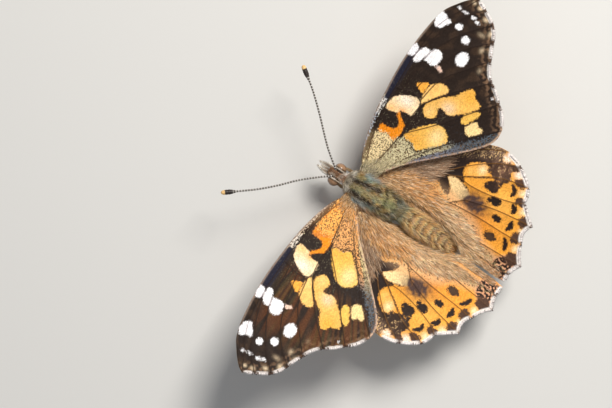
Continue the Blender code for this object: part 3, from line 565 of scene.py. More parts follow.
class Wing:
    """One wing: its outline, veins and heights in its own plane, and its place on the body."""

    def __init__(self, kind, side):
        self.kind = kind
        self.side = side
        if kind == "forewing":
            hinge, dihedral, swing = FOREWING_HINGE, FOREWING_DIHEDRAL, 0.0
            costa = curve_through([*FOREWING_COSTA, FOREWING_ENDS[0]], NET_STEP)
            ends, bulges = FOREWING_ENDS, FOREWING_BULGES
            self.inner_line = curve_through([ends[-1], *FOREWING_INNER], ZONE_STEP)
            inner = curve_through([ends[-1], *FOREWING_INNER], NET_STEP)[1:]
            root = np.array(FOREWING_ROOT)
            veins = FOREWING_VEINS
        else:
            hinge, dihedral, swing = HINDWING_HINGE, HINDWING_DIHEDRAL, -side * HINDWING_SWING
            costa = curve_through([*HINDWING_COSTA, HINDWING_ENDS[0]], NET_STEP)
            self.inner_line = hindwing_inner_margin(side)
            corner = (self.inner_line[0][0], HINDWING_ANAL_END[1])
            ends, bulges = [*HINDWING_ENDS, HINDWING_ANAL_END, corner], HINDWING_BULGES
            inner = curve_through(self.inner_line, NET_STEP)
            root = np.array([(-1.4, -1.6), hindwing_plane(side, HINDWING_HINGE[0] - 1.3, 6.6)])
            veins = HINDWING_VEINS
        self.costa = costa
        self.margin, self.margin_shares, self.margin_outward, self.margin_inset = outer_margin(
            ends, bulges, FRINGE_INSET)
        start, end = self.outline_edge(root[0], costa[0]), self.outline_edge(inner[-1], root[1])
        close = self.outline_edge(root[1], root[0])
        self.loop = np.concatenate([start, costa[:-1], self.margin[:-1], inner[:-1], end, close])
        self.veins = [curve_through(route, NET_STEP) for route in veins]
        place = Matrix.Translation((side * hinge[0], hinge[1], hinge[2]))
        place = place @ Matrix.Rotation(-side * dihedral, 4, "Y") @ Matrix.Rotation(side * swing, 4, "Z")
        self.matrix = np.array(place)

    @staticmethod
    def outline_edge(start, end):
        """Evenly spaced places from the start up to, and without, the end."""
        count = max(1, ceil(np.linalg.norm(end - start) / NET_STEP))
        return start + (end - start) * (np.arange(count) / count)[:, None]

    def camber(self, plane):
        """Height of the membrane's middle over its own plane."""
        a, b = plane[:, 0], plane[:, 1]
        if self.kind == "forewing":
            return 0.45 * (1 - ((a - 13) / 16) ** 2) - 0.05 * np.maximum(0.0, -b - 2) ** 2 - 0.15
        distance, share = path_distance(plane, self.inner_line)
        near = np.maximum(0.0, 1 - distance / 2.6)
        along = np.clip((share - 0.25) / 0.3, 0.0, 1.0)
        return 0.1 - 0.002 * (a - 6) ** 2 - 0.9 * near**2 * along

    def vein_distance(self, plane):
        return np.min([path_distance(plane, vein)[0] for vein in self.veins], axis=0)

    def relief(self, plane, vein_distance):
        """The veins stand up, the membrane sags between them, and the front edge is thick."""
        costa, _ = path_distance(plane, self.costa)
        ridge = VEIN_RISE * np.exp(-((vein_distance / VEIN_HALF) ** 2))
        sag = -MEMBRANE_SAG * (1 - np.exp(-((vein_distance / SAG_REACH) ** 2)))
        return ridge, sag, COSTA_RISE * np.exp(-((costa / COSTA_HALF) ** 2))

    def top(self, plane):
        """Height of the upper face at each place."""
        ridge, sag, front = self.relief(plane, self.vein_distance(plane))
        return self.camber(plane) + SKIN_HALF + ridge + sag + front

    def place(self, plane, height):
        """Take places in the wing's plane, and heights over it, to the measuring frame."""
        points = np.stack([self.side * plane[:, 0], plane[:, 1], height, np.ones(len(plane))], -1)
        return (points @ self.matrix.T)[:, :3]

    def direction(self, vectors):
        """Take directions (out, back, up) in the wing's plane to the measuring frame."""
        return (vectors * (self.side, 1, 1)) @ self.matrix[:3, :3].T

    def net(self):
        """Points and triangles of the plane, dense, along the outline and the lines of the veins."""
        points = [self.loop]
        count = len(self.loop)
        edges = [(i, (i + 1) % count) for i in range(count)]
        beside = []
        for vein in self.veins:
            line = vein[signed_distance(vein, self.loop) < -SKIN_HALF]
            edges += [(count + i, count + i + 1) for i in range(len(line) - 1)]
            points.append(line)
            count += len(line)
            along = np.gradient(line, axis=0)
            across = np.stack([along[:, 1], -along[:, 0]], -1)
            across /= np.linalg.norm(across, axis=1)[:, None]
            beside += [line + across * reach for reach in BESIDE_VEIN]
        points = np.concatenate(points)
        low, high = self.loop.min(0), self.loop.max(0)
        rows = np.arange(low[1], high[1], NET_STEP * ROW_SHARE)
        columns = np.arange(low[0], high[0], NET_STEP)
        grid_a, grid_b = np.meshgrid(columns, rows)
        grid_a[::2] += NET_STEP / 2
        grid = np.stack([grid_a.ravel(), grid_b.ravel()], -1)
        for free, clearance in ((np.concatenate(beside), BESIDE_CLEARANCE), (grid, GRID_CLEARANCE)):
            free = free[signed_distance(free, self.loop) < -EDGE_CLEARANCE]
            _, gap = nearest_to(nearest_tree(points), free)
            points = np.concatenate([points, free[gap > clearance]])
        made = delaunay_2d_cdt([Vector(p) for p in points], edges, [list(range(len(self.loop)))], 1, 1e-6)
        plane = np.array([tuple(p) for p in made[0]])
        triangles = np.array([tuple(t) for t in made[2] if len(t) == 3], np.int32)
        used, triangles = np.unique(triangles, return_inverse=True)
        plane, triangles = plane[used], triangles.reshape(-1, 3)
        first, second, third = (plane[triangles[:, k]] for k in range(3))
        turn = np.cross(second - first, third - first)
        return plane, np.where((turn > 0)[:, None], triangles, triangles[:, [0, 2, 1]])


# The forewing's markings, in its own plane: out from the root, and back from the hinge

# The outlines of the pale patches.
PALE_PATCHES = {
    "cell_end": [(9.1, -2.9), (9.4, -3.05), (10.2, -2.95), (11.0, -2.75), (11.6, -2.2), (12.1, -1.4),
                 (12.5, -0.6), (12.75, 0.1), (12.5, 0.6), (12.1, 0.9), (11.4, 0.95), (10.6, 0.95),
                 (10.1, 0.75), (10.0, 0.2), (9.95, -0.5), (9.75, -0.95), (9.4, -1.05), (9.2, -1.4),
                 (9.1, -2.2)],
    "hook": [(5.6, -2.0), (6.3, -2.3), (6.85, -2.1), (6.85, -1.2), (7.0, -0.5), (7.4, -0.15), (8.0, -0.1),
             (8.5, -0.4), (9.0, -0.95), (9.4, -1.1), (9.75, -0.95), (9.2, -0.5), (8.7, 0.1), (8.3, 0.65),
             (7.6, 0.9), (6.8, 0.85), (6.2, 0.75), (5.5, 0.5), (5.6, -0.3), (5.9, -0.5), (5.95, -1.0),
             (5.6, -1.4)],
    "middle": [(7.2, 1.35), (7.7, 1.55), (8.4, 1.95), (9.2, 2.55), (10.0, 3.3), (10.7, 4.0), (11.05, 4.7),
               (11.1, 5.3), (10.8, 6.0), (10.3, 6.6), (9.6, 6.95), (9.0, 6.75), (8.0, 5.8), (7.0, 4.8),
               (6.1, 3.9), (6.35, 3.3), (6.75, 2.9), (6.75, 2.0), (6.9, 1.5)],
    "triangle": [(14.3, -1.05), (14.75, -0.8), (15.0, -0.35), (15.35, 0.1), (15.3, 0.45), (14.5, 0.5),
                 (13.7, 0.4), (13.85, -0.1), (14.05, -0.6)],
    "lobe": [(12.3, 1.05), (13.0, 0.65), (14.0, 0.6), (15.2, 0.7), (15.9, 1.2), (16.3, 2.0), (16.3, 2.8),
             (15.9, 3.3), (15.5, 3.25), (14.7, 2.6), (13.8, 1.95), (13.0, 1.4)],
    "long": [(11.0, 2.6), (11.15, 2.1), (11.7, 1.7), (12.4, 1.55), (13.0, 1.75), (13.8, 2.3), (14.6, 3.0),
             (15.2, 3.6), (15.9, 4.6), (16.7, 4.9), (17.6, 5.5), (18.0, 6.0), (17.7, 6.6), (17.1, 6.85),
             (16.95, 7.4), (16.6, 8.1), (16.1, 8.15), (15.5, 7.8), (14.6, 7.0), (13.7, 6.1), (13.1, 5.4),
             (13.05, 4.6), (13.3, 3.8), (13.2, 3.5), (12.8, 3.3), (12.4, 3.6), (11.8, 3.7), (11.3, 3.3)],
    "rear_outer": [(13.0, 7.3), (13.5, 6.95), (14.2, 7.0), (14.9, 7.4), (15.5, 8.0), (15.8, 8.5),
                   (15.6, 8.8), (15.0, 8.75), (14.4, 8.5), (13.9, 8.3), (13.4, 8.1)],
    "rear_inner": [(12.0, 8.7), (12.4, 8.2), (13.1, 8.0), (13.6, 8.3), (14.1, 8.7), (14.3, 9.1),
                   (13.9, 9.5), (13.9, 10.1), (13.5, 10.4), (13.1, 10.2), (12.5, 9.7), (12.0, 9.2)],
    "bar_edge": [(17.2, -4.45), (18.9, -4.45), (19.2, -4.1), (19.0, -3.55), (18.6, -3.4), (17.6, -3.5),
                 (17.3, -4.0)],
    "bar_front": [(16.9, -3.0), (17.0, -3.35), (18.4, -3.35), (19.2, -3.0), (19.5, -2.4), (19.4, -2.0),
                  (18.9, -1.9), (18.2, -2.1), (17.4, -2.4), (16.95, -2.7)],
    "bar_middle": [(17.9, -2.0), (19.2, -1.85), (19.9, -1.5), (20.1, -0.9), (19.9, -0.3), (19.3, 0.05),
                   (18.5, -0.05), (17.9, -0.35), (17.7, -0.9), (17.85, -1.5)],
    "bar_tail": [(17.8, -0.1), (18.3, 0.2), (18.1, 0.7), (17.7, 1.1), (17.5, 0.8), (17.7, 0.3)],
    "apex_bar": [(22.8, -2.6), (22.75, -3.1), (23.2, -3.6), (24.3, -3.75), (25.0, -3.5), (24.95, -2.7),
                 (24.6, -2.4), (24.6, -1.9), (24.35, -1.6), (23.8, -1.9), (23.3, -2.2)],
}
PATCH_COLOURS = {
    "cell_end": (250, 215, 165), "hook": (236, 138, 22), "middle": (245, 186, 84),
    "triangle": (243, 168, 66), "lobe": (250, 194, 110), "long": (243, 184, 92),
    "rear_outer": (245, 190, 90), "rear_inner": (250, 213, 148), "bar_edge": (246, 242, 244),
    "bar_front": (250, 246, 246), "bar_middle": (250, 246, 246), "bar_tail": (232, 196, 176),
    "apex_bar": (248, 245, 246), "dots": (250, 247, 248),
}
PATCH_STEP = 0.48
# Where, how wide out and back, and how light the small round spots are.
PALE_DOTS = [(24.4, -0.35, 0.5, 0.5, 1.0), (23.3, 1.4, 0.58, 0.6, 1.0), (20.75, 2.45, 1.08, 0.86, 1.0),
             (18.3, 9.0, 0.16, 0.16, 0.7), (26.75, -1.7, 0.22, 0.24, 0.75), (26.6, -0.7, 0.2, 0.4, 0.8),
             (26.55, 0.75, 0.27, 0.36, 0.85), (26.25, 1.45, 0.22, 0.35, 0.75)]
# Faint cream marks in the dark border: place, reach out and back, strength.
BORDER_MARKS = [(25.1, 2.9, 0.3, 0.5, 0.4), (23.3, 4.1, 0.4, 0.3, 0.6), (20.7, 5.4, 0.4, 0.3, 0.35),
                (28.4, -0.3, 0.22, 0.26, 0.9), (28.15, 0.8, 0.25, 0.32, 0.9), (27.2, 2.3, 0.27, 0.36, 0.9),
                (25.9, 3.9, 0.4, 0.32, 0.75), (23.9, 5.1, 0.4, 0.3, 0.4), (21.6, 6.6, 0.4, 0.4, 0.3)]
# The left wing's cell is orange up to the root. On the right wing the root's dust lies there instead, in
# colours of painted sheen.
LEFT_CELL = [(0.8, -1.4), (3.4, -2.0), (6.0, -2.25), (6.85, -2.1), (6.8, -0.4), (6.0, 0.55), (3.0, 0.2),
             (0.9, -0.2)]
CELL_DUST = [(0.3, -1.5), (3.0, -1.9), (5.8, -2.2), (5.6, 0.6), (3.0, 0.3), (0.5, -0.1)]
REAR_DUST = [(0.8, 0.2), (6.4, 0.9), (6.7, 2.8), (6.1, 3.8), (7.3, 5.2), (10.0, 7.6), (9.0, 8.2),
             (5.0, 4.7), (1.0, 1.8)]
EDGE_DUST = [(0.2, -1.9), (4.0, -2.75), (8.0, -3.3), (10.2, -3.2), (10.0, -4.1), (6.0, -3.6), (2.0, -2.6)]
SLATE_STRIP = [(4.0, 3.4), (8.0, 6.2), (12.0, 9.9), (14.5, 12.2), (13.0, 12.3), (9.0, 9.2), (5.0, 5.4),
               (3.6, 3.9)]
# Each zone's dust on the right wing and on the left one, and its strength. The right wing's colours, greyer
# and bluer than the left's, are painted sheen where light glints off its root.
DUST_AND_SHEEN_ZONES = [(CELL_DUST, (232, 208, 158), (242, 172, 88), 0.82),
              (REAR_DUST, (204, 192, 152), (226, 162, 98), 0.78),
              (EDGE_DUST, (172, 178, 188), (206, 182, 156), 0.8),
              (SLATE_STRIP, (120, 122, 134), (196, 176, 128), 0.72)]
# Below none, so that no scale is drawn as a fleck.
NO_FLECKS = -0.1


def nearest_patch(plane, patches):
    """Distance to the nearest of the named patches, and that patch's colour."""
    edge = np.full(len(plane), 1e9)
    colours = np.zeros((len(plane), 3))
    for key, points in patches.items():
        distance = zone_distance(plane, points, PATCH_STEP)
        closer = distance < edge
        edge = np.where(closer, distance, edge)
        colours[closer] = linear(*PATCH_COLOURS[key])
    return edge, colours


def oval_distance(plane, a, b, across, along):
    """About how far each place is outside an oval, negative inside it."""
    reach = np.hypot((plane[:, 0] - a) / across, (plane[:, 1] - b) / along)
    return (reach - 1.0) * min(across, along)


def pale_patches(seen, side):
    """Distance to the nearest pale patch, spot or cell of orange, and the colour it has there."""
    edge, patch = nearest_patch(seen, PALE_PATCHES)
    for x, y, across, along, light in PALE_DOTS:
        distance = oval_distance(seen, x, y, across, along)
        patch[distance < edge] = linear(*PATCH_COLOURS["dots"]) * light
        edge = np.minimum(edge, distance)
    fold, _ = path_distance(seen, np.array([(12.6, 7.75), (13.8, 8.35), (15.2, 9.35)]))
    edge = np.maximum(edge, 0.13 - fold)
    patch = layered(
        patch,
        ((252, 236, 214), soft_spot(seen, 11.6, -1.0, 0.9, 1.3, 0.9)),
        ((252, 190, 120), soft_spot(seen, 9.5, -2.2, 0.6, 0.8, 0.9)),
        ((240, 150, 60), soft_spot(seen, 9.9, -0.6, 0.5, 0.6, 0.7)),
        ((252, 222, 160), soft_spot(seen, 9.4, 5.4, 1.4, 1.1, 0.8)),
        ((236, 160, 60), soft_spot(seen, 7.2, 2.6, 1.0, 1.5, 0.6)),
        ((242, 208, 168), soft_spot(seen, 13.8, 4.6, 0.9, 1.0, 0.9)),
        ((252, 205, 130), soft_spot(seen, 12.0, 2.6, 0.9, 0.7, 0.7)),
        ((244, 172, 62), soft_spot(seen, 17.0, 6.4, 1.2, 1.2, 0.8)),
        ((250, 205, 130), soft_spot(seen, 13.2, 1.1, 0.8, 0.5, 0.7)))
    if side == LEFT:
        cell = zone_distance(seen, LEFT_CELL)
        patch[cell < edge] = linear(214, 128, 48)
        edge = np.minimum(edge, cell)
    return edge, patch


def dark_ground(wing, plane, seen):
    """Dark brown with a mottled border, slate in front, brown at the root and pale rims; the left wing also
    has painted reddish sheen and a redder root.
    """
    a, b = seen[:, 0], seen[:, 1]
    border = fade(2.0, 0.5, wing.margin_distance)
    slate = fade(9, 11, a) * fade(-2.9, -3.5, b) * fade(18, 16.5, a)
    ground = layered(
        plain(len(a), 40, 29, 23),
        ((84, 62, 44), 0.3 * fade(0.4, 1.0, mottle(plane, 2.3, 3)) * fade(14, 20, a)),
        ((128, 98, 74), 0.75 * border * fade(0.45, 0.85, mottle(plane, 0.8, 5))),
        ((34, 34, 50), 0.9 * slate),
        ((124, 102, 72), 0.85 * fade(7.2, 5.0, a + 0.35 * np.abs(b))))
    for x, y, across, along, strength in BORDER_MARKS:
        ground = toward(ground, linear(232, 206, 170), soft_spot(seen, x, y, across, along, strength))
    # On the left wing, painted reddish sheen in streaks that fan out over the middle of the dark ground, and
    # a redder root than the right wing's.
    if wing.side == LEFT:
        warm = 0.6 * fade(11, 14, a) * fade(25, 20, a) * fade(-3.6, -1.5, b)
        rays = np.stack([np.arctan2(b, a + 3) * 30, a * 0.12], -1)
        ground = layered(
            ground,
            ((104, 60, 30), warm * fade(0.2, 0.8, mottle(rays, 1.5, 9))),
            ((92, 76, 40), 0.5 * warm * fade(0.4, 0.9, mottle(rays, 1.1, 10))),
            ((110, 70, 40), 0.7 * fade(8, 3, a)))
    front, _ = path_distance(plane, wing.costa)
    rear, _ = path_distance(plane, wing.inner_line)
    return layered(
        ground,
        ((168, 146, 130), 0.75 * fade(0.34, 0.08, front) * fade(1, 3, a) * fade(27, 20, a)),
        ((214, 178, 150), 0.9 * fade(0.42, 0.12, rear)))


def root_dust_and_sheen(seen, side):
    """How thickly pale scales lie over the root's colours, and their colour, with painted sheen in it on the
    right wing.
    """
    a, b = seen[:, 0], seen[:, 1]
    dust = np.zeros(len(a))
    dust_colour = plain(len(a), 200, 190, 150)
    for zone, right, left, strength in DUST_AND_SHEEN_ZONES:
        amount = strength * fade(0.4, -0.7, zone_distance(seen, zone))
        colour = linear(*(left if side == LEFT else right))
        dust_colour = toward(dust_colour, colour, fade(0.0, 0.3, amount - dust))
        dust = np.maximum(dust, amount)
    light = 0.8 * fade(7.4, 8.2, a) * fade(10.6, 9.8, a) * fade(-2.9, -3.3, b)
    dust_colour = layered(
        dust_colour,
        ((86, 94, 102), fade(7.0, 11.0, a) * fade(4.5, 6.5, b)),
        ((226, 216, 204), light))
    return np.maximum(dust, 0.05 * fade(24, 10, a)), dust_colour


def forewing_colours(wing, plane):
    """The upper face: dark ground, pale patches, and the dust of pale scales near the root."""
    seen = plane
    if wing.side == LEFT:
        # The left wing's markings lie a little nearer the root and the rear than the right one's.
        seen = plane + np.stack([0.3 * fade(14, 22, plane[:, 0]), np.full(len(plane), -0.1)], -1)
    a = seen[:, 0]
    edge, patch = pale_patches(seen, wing.side)
    dust, dust_colour = root_dust_and_sheen(seen, wing.side)
    vein_colour = layered(
        plain(len(a), 40, 28, 22),
        ((104, 76, 48), 0.7 * fade(6.5, 3.0, a)),
        ((176, 166, 168), fade(0.1, -0.1, edge) * fade(16.5, 17.0, a)))
    flecks = (0.34 if wing.side == LEFT else 0.24) * fade(0.15, 0.75, dust) + NO_FLECKS
    return {"ground": dark_ground(wing, plane, seen), "patch": patch, "edge": edge, "dust": dust,
            "dust_colour": dust_colour, "vein_colour": vein_colour, "flecks": flecks}


# The hindwing's markings

FRONT_SHADE = [(-1, -2.6), (3.4, -2), (7, 0.4), (10.2, 3.6), (12.6, 6.8), (13.9, 9.4), (14.2, 10.6),
               (12.9, 10.6), (12.3, 11.2), (12.7, 12.2), (12.9, 13.0), (12.3, 13.4), (11.4, 13.0),
               (10.7, 13.6), (10.1, 13.4), (9.6, 12.6), (9.4, 11.6), (9.9, 10.6), (10.4, 9.9), (10.7, 9.3),
               (9.6, 7.6), (8.4, 7.2), (7.4, 7.6), (7.2, 8.0), (6.6, 8.3), (6.2, 9.2), (5.9, 9.5),
               (6.3, 8.3), (6.5, 7.1), (6.0, 6.0), (5.0, 7.0), (3.7, 7.5), (3.9, 6.4), (4.5, 5.2),
               (4.4, 4.0), (3.6, 2.9), (1.5, 0.6), (-0.5, -1.2)]
CELL_PATCH = [(3, 8.2), (3.6, 7.6), (4.9, 7.1), (6, 6), (6.5, 7), (6.3, 8.3), (5.9, 9.4), (5.2, 10.1),
              (4.3, 9.4)]
# Dark ovals in and beside the orange, and along the margin: place, reach out and back.
DARK_SPOTS = [(8.5, 12.0, 0.92, 0.98), (9.5, 12.65, 0.45, 0.33), (8.05, 11.2, 0.45, 0.4),
              (6.95, 13.5, 0.66, 0.92), (6.6, 12.75, 0.4, 0.4), (5.0, 15.1, 0.52, 0.75),
              (2.3, 15.8, 0.66, 0.92), (10.25, 10.4, 0.42, 0.45)]
MARGIN_SPOTS = [(12.8, 13.3, 0.6, 0.55), (11.1, 15.0, 0.62, 1.0), (8.9, 16.5, 0.62, 0.85),
                (6.8, 18.7, 0.9, 1.0), (4.2, 18.9, 0.9, 0.75), (1.4, 20.3, 0.95, 1.1),
                (6.0, 19.9, 0.5, 0.35)]
# Dark crescents: the line through their middle and half their width.
CRESCENTS = [([(8.8, 14.9), (9.4, 15.0), (9.9, 14.7), (10.35, 14.1)], 0.36),
             ([(6.9, 16.35), (7.5, 16.4), (8.0, 15.75)], 0.42),
             ([(4.5, 17.2), (5.15, 17.3), (5.8, 17.15)], 0.46),
             ([(1.8, 18.5), (2.6, 18.3), (3.3, 17.6)], 0.38)]
# Soft cream marks: place, reach out and back.
CREAM_MARKS = [(12.9, 11.3, 0.5, 0.8), (12.0, 14.1, 0.6, 0.7), (10.1, 16.1, 0.55, 0.6),
               (8.0, 17.6, 0.6, 0.5), (5.5, 19.0, 0.45, 0.4), (2.9, 19.8, 0.6, 0.45)]
REAR_CORNER = [(-1.8, 18.6), (-0.6, 18.2), (0.6, 18.6), (1.3, 19.4), (1.6, 20.6), (1.5, 22.2), (-0.6, 21.9),
               (-2.2, 21.5)]
HAIR_ZONE = [(-1.2, 0), (1, -1.5), (4.2, 1), (5, 4), (4.4, 7), (3.4, 10), (2.6, 13), (1.2, 15),
             (0.2, 18), (-1, 20)]


def orange_ground(plane, brown, corner):
    """Orange with cream beside the dark marks, and browner under the hair and in the rear corner."""
    a, b = plane[:, 0], plane[:, 1]
    smudge = soft_spot(plane, 4.8, 11.2, 1.5, 2.0, 1.5) * (0.7 + 0.5 * mottle(plane, 1.0, 21))
    light = layered(
        plain(len(a), 238, 160, 56),
        ((244, 178, 84), 0.6 * soft_spot(plane, 7.5, 14.5, 3.0, 3.0)),
        ((230, 140, 52), 0.7 * soft_spot(plane, 3.0, 12.0, 2.0, 5.0)),
        ((250, 214, 156), 0.95 * fade(0.25, -0.15, zone_distance(plane, CELL_PATCH))),
        ((252, 224, 170), soft_spot(plane, 9.6, 9.4, 0.8, 0.7, 0.9)),
        ((246, 186, 100), soft_spot(plane, 8.6, 8.2, 0.8, 0.8, 0.8)),
        ((76, 56, 50), smudge))
    for x, y, across, along in CREAM_MARKS:
        pale = linear(254, 238, 222) if x > 11 else linear(252, 226, 176)
        light = toward(light, pale, soft_spot(plane, x, y, across, along, 0.95))
    return layered(
        light,
        ((206, 150, 92), brown),
        ((236, 178, 124), 0.8 * brown * fade(6.0, 8.5, b)),
        ((176, 146, 112), 0.8 * brown * fade(0.9, -0.2, a)),
        ((206, 150, 112), fade(0.5, -0.3, corner)))


def dark_marks(plane, side, corner, marginal):
    """Distance to the nearest dark marking, negative inside it."""
    edge = zone_distance(plane, FRONT_SHADE)
    edge = np.minimum(edge, np.maximum(corner, 1.2 * (0.42 - mottle(plane, 0.6, 31))))
    for spot in DARK_SPOTS:
        edge = np.minimum(edge, oval_distance(plane, *spot))
    edge = np.minimum(edge, marginal)
    outside = fade(11, 14, plane[:, 1] + 0.35 * plane[:, 0])
    edge = edge + 0.2 * outside * (mottle(plane, 0.75, 23) - 0.5)
    for route, half in CRESCENTS:
        distance, share = path_distance(plane, curve_through(route, 0.2))
        edge = np.minimum(edge, distance - half * (1 - 0.55 * np.abs(2 * share - 1) ** 2))
    line, _ = path_distance(plane, np.array([(7.3, 7.8), (8.3, 9.4), (9.3, 10.9)]))
    edge = np.minimum(edge, line - 0.1)
    if side == RIGHT:
        crease, _ = path_distance(plane, np.array([(-0.8, 17.4), (-0.9, 19.4), (-0.85, 21.4)]))
        edge = np.minimum(edge, crease - 0.09)
    return edge


def hindwing_colours(wing, plane):
    """The upper face: orange with dark markings, cream beside some, and brown hair near the body."""
    a, b = plane[:, 0], plane[:, 1]
    hair = zone_distance(plane, HAIR_ZONE)
    corner = zone_distance(plane, REAR_CORNER)
    marginal = np.min([oval_distance(plane, *spot) for spot in MARGIN_SPOTS], axis=0)
    brown = 0.85 * fade(1.1, -0.7, hair)
    light = orange_ground(plane, brown, corner)
    outer = soft_spot(plane, 11.2, 12.0, 1.9, 1.9)
    patchy = fade(0.3, 0.8, mottle(plane, 1.1, 27))
    costal = fade(2.6, 0.8, path_distance(plane, wing.costa)[0]) * fade(13.5, 10.5, b)
    dark = layered(
        plain(len(a), 40, 28, 23),
        ((132, 96, 76) if wing.side == RIGHT else (82, 60, 46), outer * (0.4 + 0.6 * patchy)),
        ((138, 110, 92), 0.75 * costal * (0.5 + 0.5 * patchy)),
        ((150, 118, 90), 0.85 * fade(5.6, 3.0, a) * fade(12.0, 9.0, b)),
        ((86, 60, 46), 0.8 * fade(0.35, 0.0, marginal)),
        ((104, 74, 50), soft_spot(plane, 2.3, 15.8, 0.9, 1.2, 0.45)))
    dust = np.maximum(0.3 * fade(0.2, -0.8, hair) + 0.2 * outer * patchy, 0.25 * costal)
    dust_colour = toward(plain(len(a), 214, 176, 124), linear(186, 168, 120), fade(1.5, -0.5, a))
    return {"ground": light, "patch": dark, "edge": dark_marks(plane, wing.side, corner, marginal),
            "dust": dust, "dust_colour": dust_colour,
            "vein_colour": toward(light * 0.3, linear(58, 38, 26), np.full(len(a), 0.6)),
            "flecks": 0.25 * brown + NO_FLECKS}


# The undersides, which the photo doesn't show

# The hindwing's eyespots: place and size.
EYESPOTS = [(10.3, 11.8, 0.55), (8.6, 12.6, 0.85), (6.95, 13.7, 0.6), (5.0, 15.3, 0.6), (2.3, 16.0, 0.9)]


def underside_colours(wing, plane, upper):
    """Paler and rosier than above; the hindwing is marbled, with a row of small eyespots."""
    a, b = plane[:, 0], plane[:, 1]
    count = len(a)
    noise = (np.sin(a * 2.1 + 1.3 * np.sin(b * 1.7)) + np.sin(b * 2.6 + 1.1 * np.sin(a * 1.9))) / 2
    look = {"dust": np.full(count, 0.12), "dust_colour": plain(count, 214, 196, 168),
            "flecks": np.full(count, NO_FLECKS)}
    if wing.kind == "forewing":
        warm = fade(19, 14, a)
        buff = fade(21.5, 24.5, a + 0.25 * b)
        ground = layered(
            upper["ground"],
            ((70, 48, 38), np.full(count, 0.6)),
            ((168, 142, 108), 0.85 * buff),
            ((226, 214, 190), 0.6 * buff * fade(0.2, 0.8, noise)),
            ((206, 128, 92), 0.7 * fade(8, 4, a)))
        return look | {"ground": ground, "edge": upper["edge"] - 0.3,
                       "patch": toward(upper["patch"], linear(218, 124, 84), 0.75 * warm),
                       "vein_colour": toward(ground, linear(206, 184, 150), np.full(count, 0.5))}
    band = np.abs(b - 9.5 + 0.35 * (a - 5)) / 1.3
    outer = fade(2.2, 1.7, wing.margin_distance) * fade(0.8, 1.2, wing.margin_distance)
    ground = layered(
        plain(count, 172, 148, 112),
        ((120, 100, 68), 0.8 * fade(0.0, 0.8, noise)),
        ((232, 222, 200), 0.9 * fade(0.1, -0.7, noise)),
        ((236, 226, 206), 0.8 * fade(1.0, 0.5, band)),
        ((168, 168, 190), 0.7 * outer),
        ((232, 218, 190), 0.8 * fade(0.9, 0.5, wing.margin_distance)))
    edge = np.full(count, 1e9)
    patch = plain(count, 52, 40, 36)
    for x, y, size in EYESPOTS:
        reach = np.hypot(plane[:, 0] - x, plane[:, 1] - y) / size
        nearer = reach * size - size < edge
        edge = np.minimum(edge, reach * size - size)
        eye = layered(
            patch,
            ((226, 190, 96), fade(0.88, 0.72, reach)),
            ((46, 58, 84), fade(0.52, 0.38, reach)))
        patch[nearer] = eye[nearer]
    return look | {"ground": ground, "patch": patch, "edge": edge,
                   "vein_colour": plain(count, 236, 228, 206)}


# Making the wings

# How much of each scallop's fringe is white on either side of its middle, and how far in the white goes.
FRINGE_WHITE = {"forewing": 0.31, "hindwing": 0.41}
EDGE_WHITE = {"forewing": 0.3, "hindwing": 0.42}
# The lower face takes its pattern of scales from this much farther on.
UNDER_PATTERN_SHIFT = 40.0
# Streaks fan out from this far inside the root.
STREAK_START = 2


def margin_share(wing, plane):
    """Distance to the outer margin, and how far its nearest place is between two vein ends."""
    nearest, distance = nearest_to(nearest_tree(wing.margin), plane)
    return distance, wing.margin_shares[nearest]


def fringe_lightness(wing, share):
    """One where the fringe is white, between the veins, and none at the vein ends."""
    reach = FRINGE_WHITE[wing.kind]
    return fade(reach + 0.13, reach - 0.13, np.abs(share - 0.5))


def two_faces(wing, triangles):
    """The upper and lower face of a wing over the same net, joined by a wall round the rim."""
    plane = wing.plane
    count = len(plane)
    ridge, sag, front = wing.relief(plane, wing.vein_distance(plane))
    camber = wing.camber(plane)
    top = wing.place(plane, camber + SKIN_HALF + ridge + sag + front)
    bottom = wing.place(plane, camber - SKIN_HALF - 0.7 * ridge + sag - 0.5 * front)
    upward = triangles if wing.side == LEFT else triangles[:, [0, 2, 1]]
    directed = np.concatenate([upward[:, [0, 1]], upward[:, [1, 2]], upward[:, [2, 0]]])
    code = directed[:, 0].astype(np.int64) * count + directed[:, 1]
    reverse = directed[:, 1].astype(np.int64) * count + directed[:, 0]
    rim = directed[~np.isin(code, reverse)]
    walls = np.stack([rim[:, 0], rim[:, 0] + count, rim[:, 1] + count, rim[:, 1]], -1)
    return np.concatenate([top, bottom]), [upward, upward[:, ::-1] + count, walls]


def whitened(look, white):
    """The same look, with the white of the fringe carried in over the outer margin."""
    white_parts = {key: toward(look[key], linear(236, 228, 222), white)
                   for key in ("ground", "patch", "vein_colour")}
    return look | white_parts | {"dust": look["dust"] * (1 - white)}


def paint_wing(piece, wing):
    """Store the look of both faces, and the lines that the scales and streaks follow."""
    plane = wing.plane
    count = len(plane)
    wing.margin_distance, share = margin_share(wing, plane)
    reach = EDGE_WHITE[wing.kind]
    white = fringe_lightness(wing, share) * fade(reach, 0.5 * reach, wing.margin_distance)
    upper = (forewing_colours if wing.kind == "forewing" else hindwing_colours)(wing, plane)
    under = underside_colours(wing, plane, upper)
    upper, under = whitened(upper, white), whitened(under, white)
    for key in upper:
        values = np.clip(np.concatenate([upper[key], under[key]]), -9, 9)
        (store_colour if values.ndim == 2 else store)(piece, key, values)
    store(piece, "plane", np.c_[np.tile(plane, (2, 1)), np.repeat([0.0, UNDER_PATTERN_SHIFT], count)])
    far = np.hypot(plane[:, 0] + STREAK_START, plane[:, 1])
    angle = np.arctan2(plane[:, 1], plane[:, 0] + STREAK_START)
    store(piece, "rays", np.tile(np.c_[far * 0.35, angle * 14, np.zeros(count)], (2, 1)))
    store(piece, "vein", np.tile(wing.vein_distance(plane), 2))


